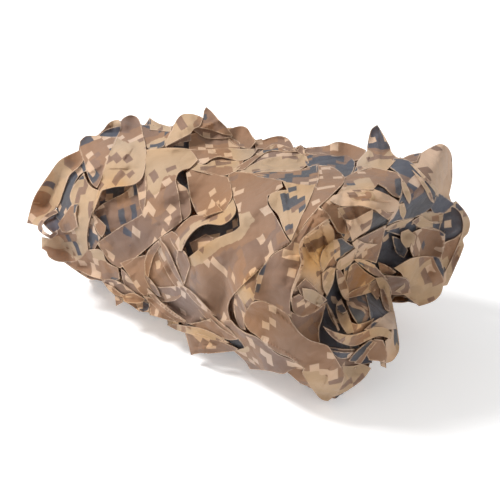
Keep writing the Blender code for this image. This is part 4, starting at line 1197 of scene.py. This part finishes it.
# The leaves of the other sides: the same cloth and cut, spread evenly round the roll. They overlap like
# shingles, each one's root under the last one's tip, and every few shapes the cutter's pattern repeats.
PATTERN = (
    # outline of one cut leaf: millimetres along and across, height over the turn beneath
    ((0, -20, 1), (18, -27, 3), (40, -22, 5), (60, -8, 8), (70, 4, 10), (52, 12, 8), (34, 22, 6),
     (14, 26, 3), (-2, 16, 1)),
    ((0, -26, 1), (24, -30, 3), (46, -24, 6), (58, -30, 9), (64, -16, 9), (56, 0, 8), (66, 12, 10),
     (48, 24, 7), (24, 22, 4), (0, 24, 1)),
    ((-4, -14, 1), (20, -18, 4), (44, -14, 7), (66, -20, 11), (84, -12, 12), (70, -2, 10), (52, 8, 7),
     (30, 22, 5), (6, 20, 1)),
    ((0, -22, 1), (26, -20, 4), (52, -26, 8), (74, -30, 12), (66, -10, 10), (54, 8, 8), (40, 28, 7),
     (20, 30, 4), (-2, 22, 1)),
    ((-6, -18, 1), (16, -34, 4), (40, -36, 7), (50, -18, 7), (72, -6, 10), (60, 10, 9), (36, 12, 6),
     (22, 30, 5), (2, 24, 1)),
)
BACK_ROWS = 9             # rows of leaves round the roll, and leaves in a row
BACK_ROW = 9
BACK_FROM, BACK_TO = 96, 342      # the angles that they cover, over the back and under the roll
BACK_X = (-0.185, 0.150)
BACK_SEED = 7000
BACK_TURNED = 58          # degrees by which a leaf may hang askew
BACK_SIZES = (0.85, 1.2)
ROLL_AXIS = (0, 0.003, 0.095)         # a point on the roll's axis, away from which the leaves face
BACK_FINE = 2.6           # millimetres between the points of these leaves
BACK_TONES = ((0.45, 0.1), (0.30, 0.0), (0.80, 0.1), (0.50, 0.6), (0.35, 0.1), (0.72, 0.0), (0.40, 0.3))


back_facets = faceted(8, 480, 700)


def on_the_roll(x0, angle0, heading, size):
    """Sets a leaf's points on the roll, from its root and heading."""
    c, s = math.cos(math.radians(heading)), math.sin(math.radians(heading))
    low, middle, width, height_there = between_rows(SECTIONS, x0)
    reach = (width + height_there) / 4

    def placed(points, height):
        turned = points @ np.array(((c, s), (-s, c))) * size / 1000
        unrolled = np.stack([x0 + turned[:, 0], math.radians(angle0) * reach + turned[:, 1]], axis=1)
        height = height + read_grid(back_facets, unrolled * 1000 + (240, -60)) * 0.7

        def place_at(k, out):
            x, arc = unrolled[k]
            place = on_roll(min(max(x, -0.203), 0.196), math.degrees(arc / reach), out - UNDER_LEAVES)
            return place.x, place.y, max(place.z, CLOTH + 0.12 * max(0, out))

        return kept_back(place_at, height / 1000)

    return placed


def back_leaves(name):
    """The leaves of the back and underside."""
    grid, layers = cloth_grid()
    rng = np.random.default_rng(41)
    number = 0
    for turn in range(BACK_ROWS):
        for place in range(BACK_ROW):
            x = BACK_X[0] + (BACK_X[1] - BACK_X[0]) * (place + 0.5 * (turn % 2)) / (BACK_ROW - 0.5)
            angle = BACK_TO + (BACK_FROM - BACK_TO) * (turn + rng.uniform(-0.25, 0.25)) / (BACK_ROWS - 1)
            heading = -90 + rng.uniform(-BACK_TURNED, BACK_TURNED)
            tone, dark = BACK_TONES[(number * 3 + turn) % len(BACK_TONES)]
            row = (tone, dark, rng.uniform(0, 90), PATTERN[(number * 2 + turn) % len(PATTERN)])
            placed = on_the_roll(x, angle, heading, rng.uniform(*BACK_SIZES))
            leaf_of_outline(grid, layers, row, BACK_SEED + number, placed,
                            lambda centre: Vector(centre - ROLL_AXIS), fine=BACK_FINE)
            number += 1
    clear_view(grid)
    return sheet_piece(name, grid)


back_leaves("back_leaves")

# Floor and light: a plain pale table top, and a soft white tent of light with one stronger lamp at the left
# and a weak one at the right, each aimed at the roll's middle.
FLOOR_SIZE = 6.0
FLOOR_LEVEL = -0.0002     # just under the cloth
bpy.ops.mesh.primitive_plane_add(size=FLOOR_SIZE, location=(0, 0, FLOOR_LEVEL))
floor = bpy.context.object
floor.name = "floor"
floor_paint = bpy.data.materials.new("floor_paint")
floor_paint.use_nodes = True
floor_shader = floor_paint.node_tree.nodes["Principled BSDF"]
floor_shader.inputs["Base Color"].default_value = (0.9, 0.9, 0.9, 1)
floor_shader.inputs["Roughness"].default_value = 0.9
floor_shader.inputs["Emission Color"].default_value = (1, 1, 1, 1)
floor_shader.inputs["Emission Strength"].default_value = 0.3
floor.data.materials.append(floor_paint)
world = bpy.data.worlds.new("light_tent")
world.use_nodes = True
tent = world.node_tree.nodes["Background"]
tent.inputs["Color"].default_value = (1, 1, 1, 1)
tent.inputs["Strength"].default_value = 0.56
bpy.context.scene.world = world
bpy.context.scene.view_settings.view_transform = "Standard"

# name, place, aimed at, width of the light, watts
LIGHTS = (
    ("key_light", (-0.9, -0.5, 1.5), (0, 0, 0.08), 0.45, 34),
    ("side_light", (1.6, -0.9, 0.9), (0, 0, 0.08), 1.2, 7),
)
for name, place, aim, size, watts in LIGHTS:
    lamp = bpy.data.objects.new(name, bpy.data.lights.new(name, "AREA"))
    lamp.data.size = size
    lamp.data.energy = watts
    lamp.location = place
    lamp.rotation_euler = (Vector(aim) - Vector(place)).to_track_quat("-Z", "Y").to_euler()
    bpy.context.scene.collection.objects.link(lamp)
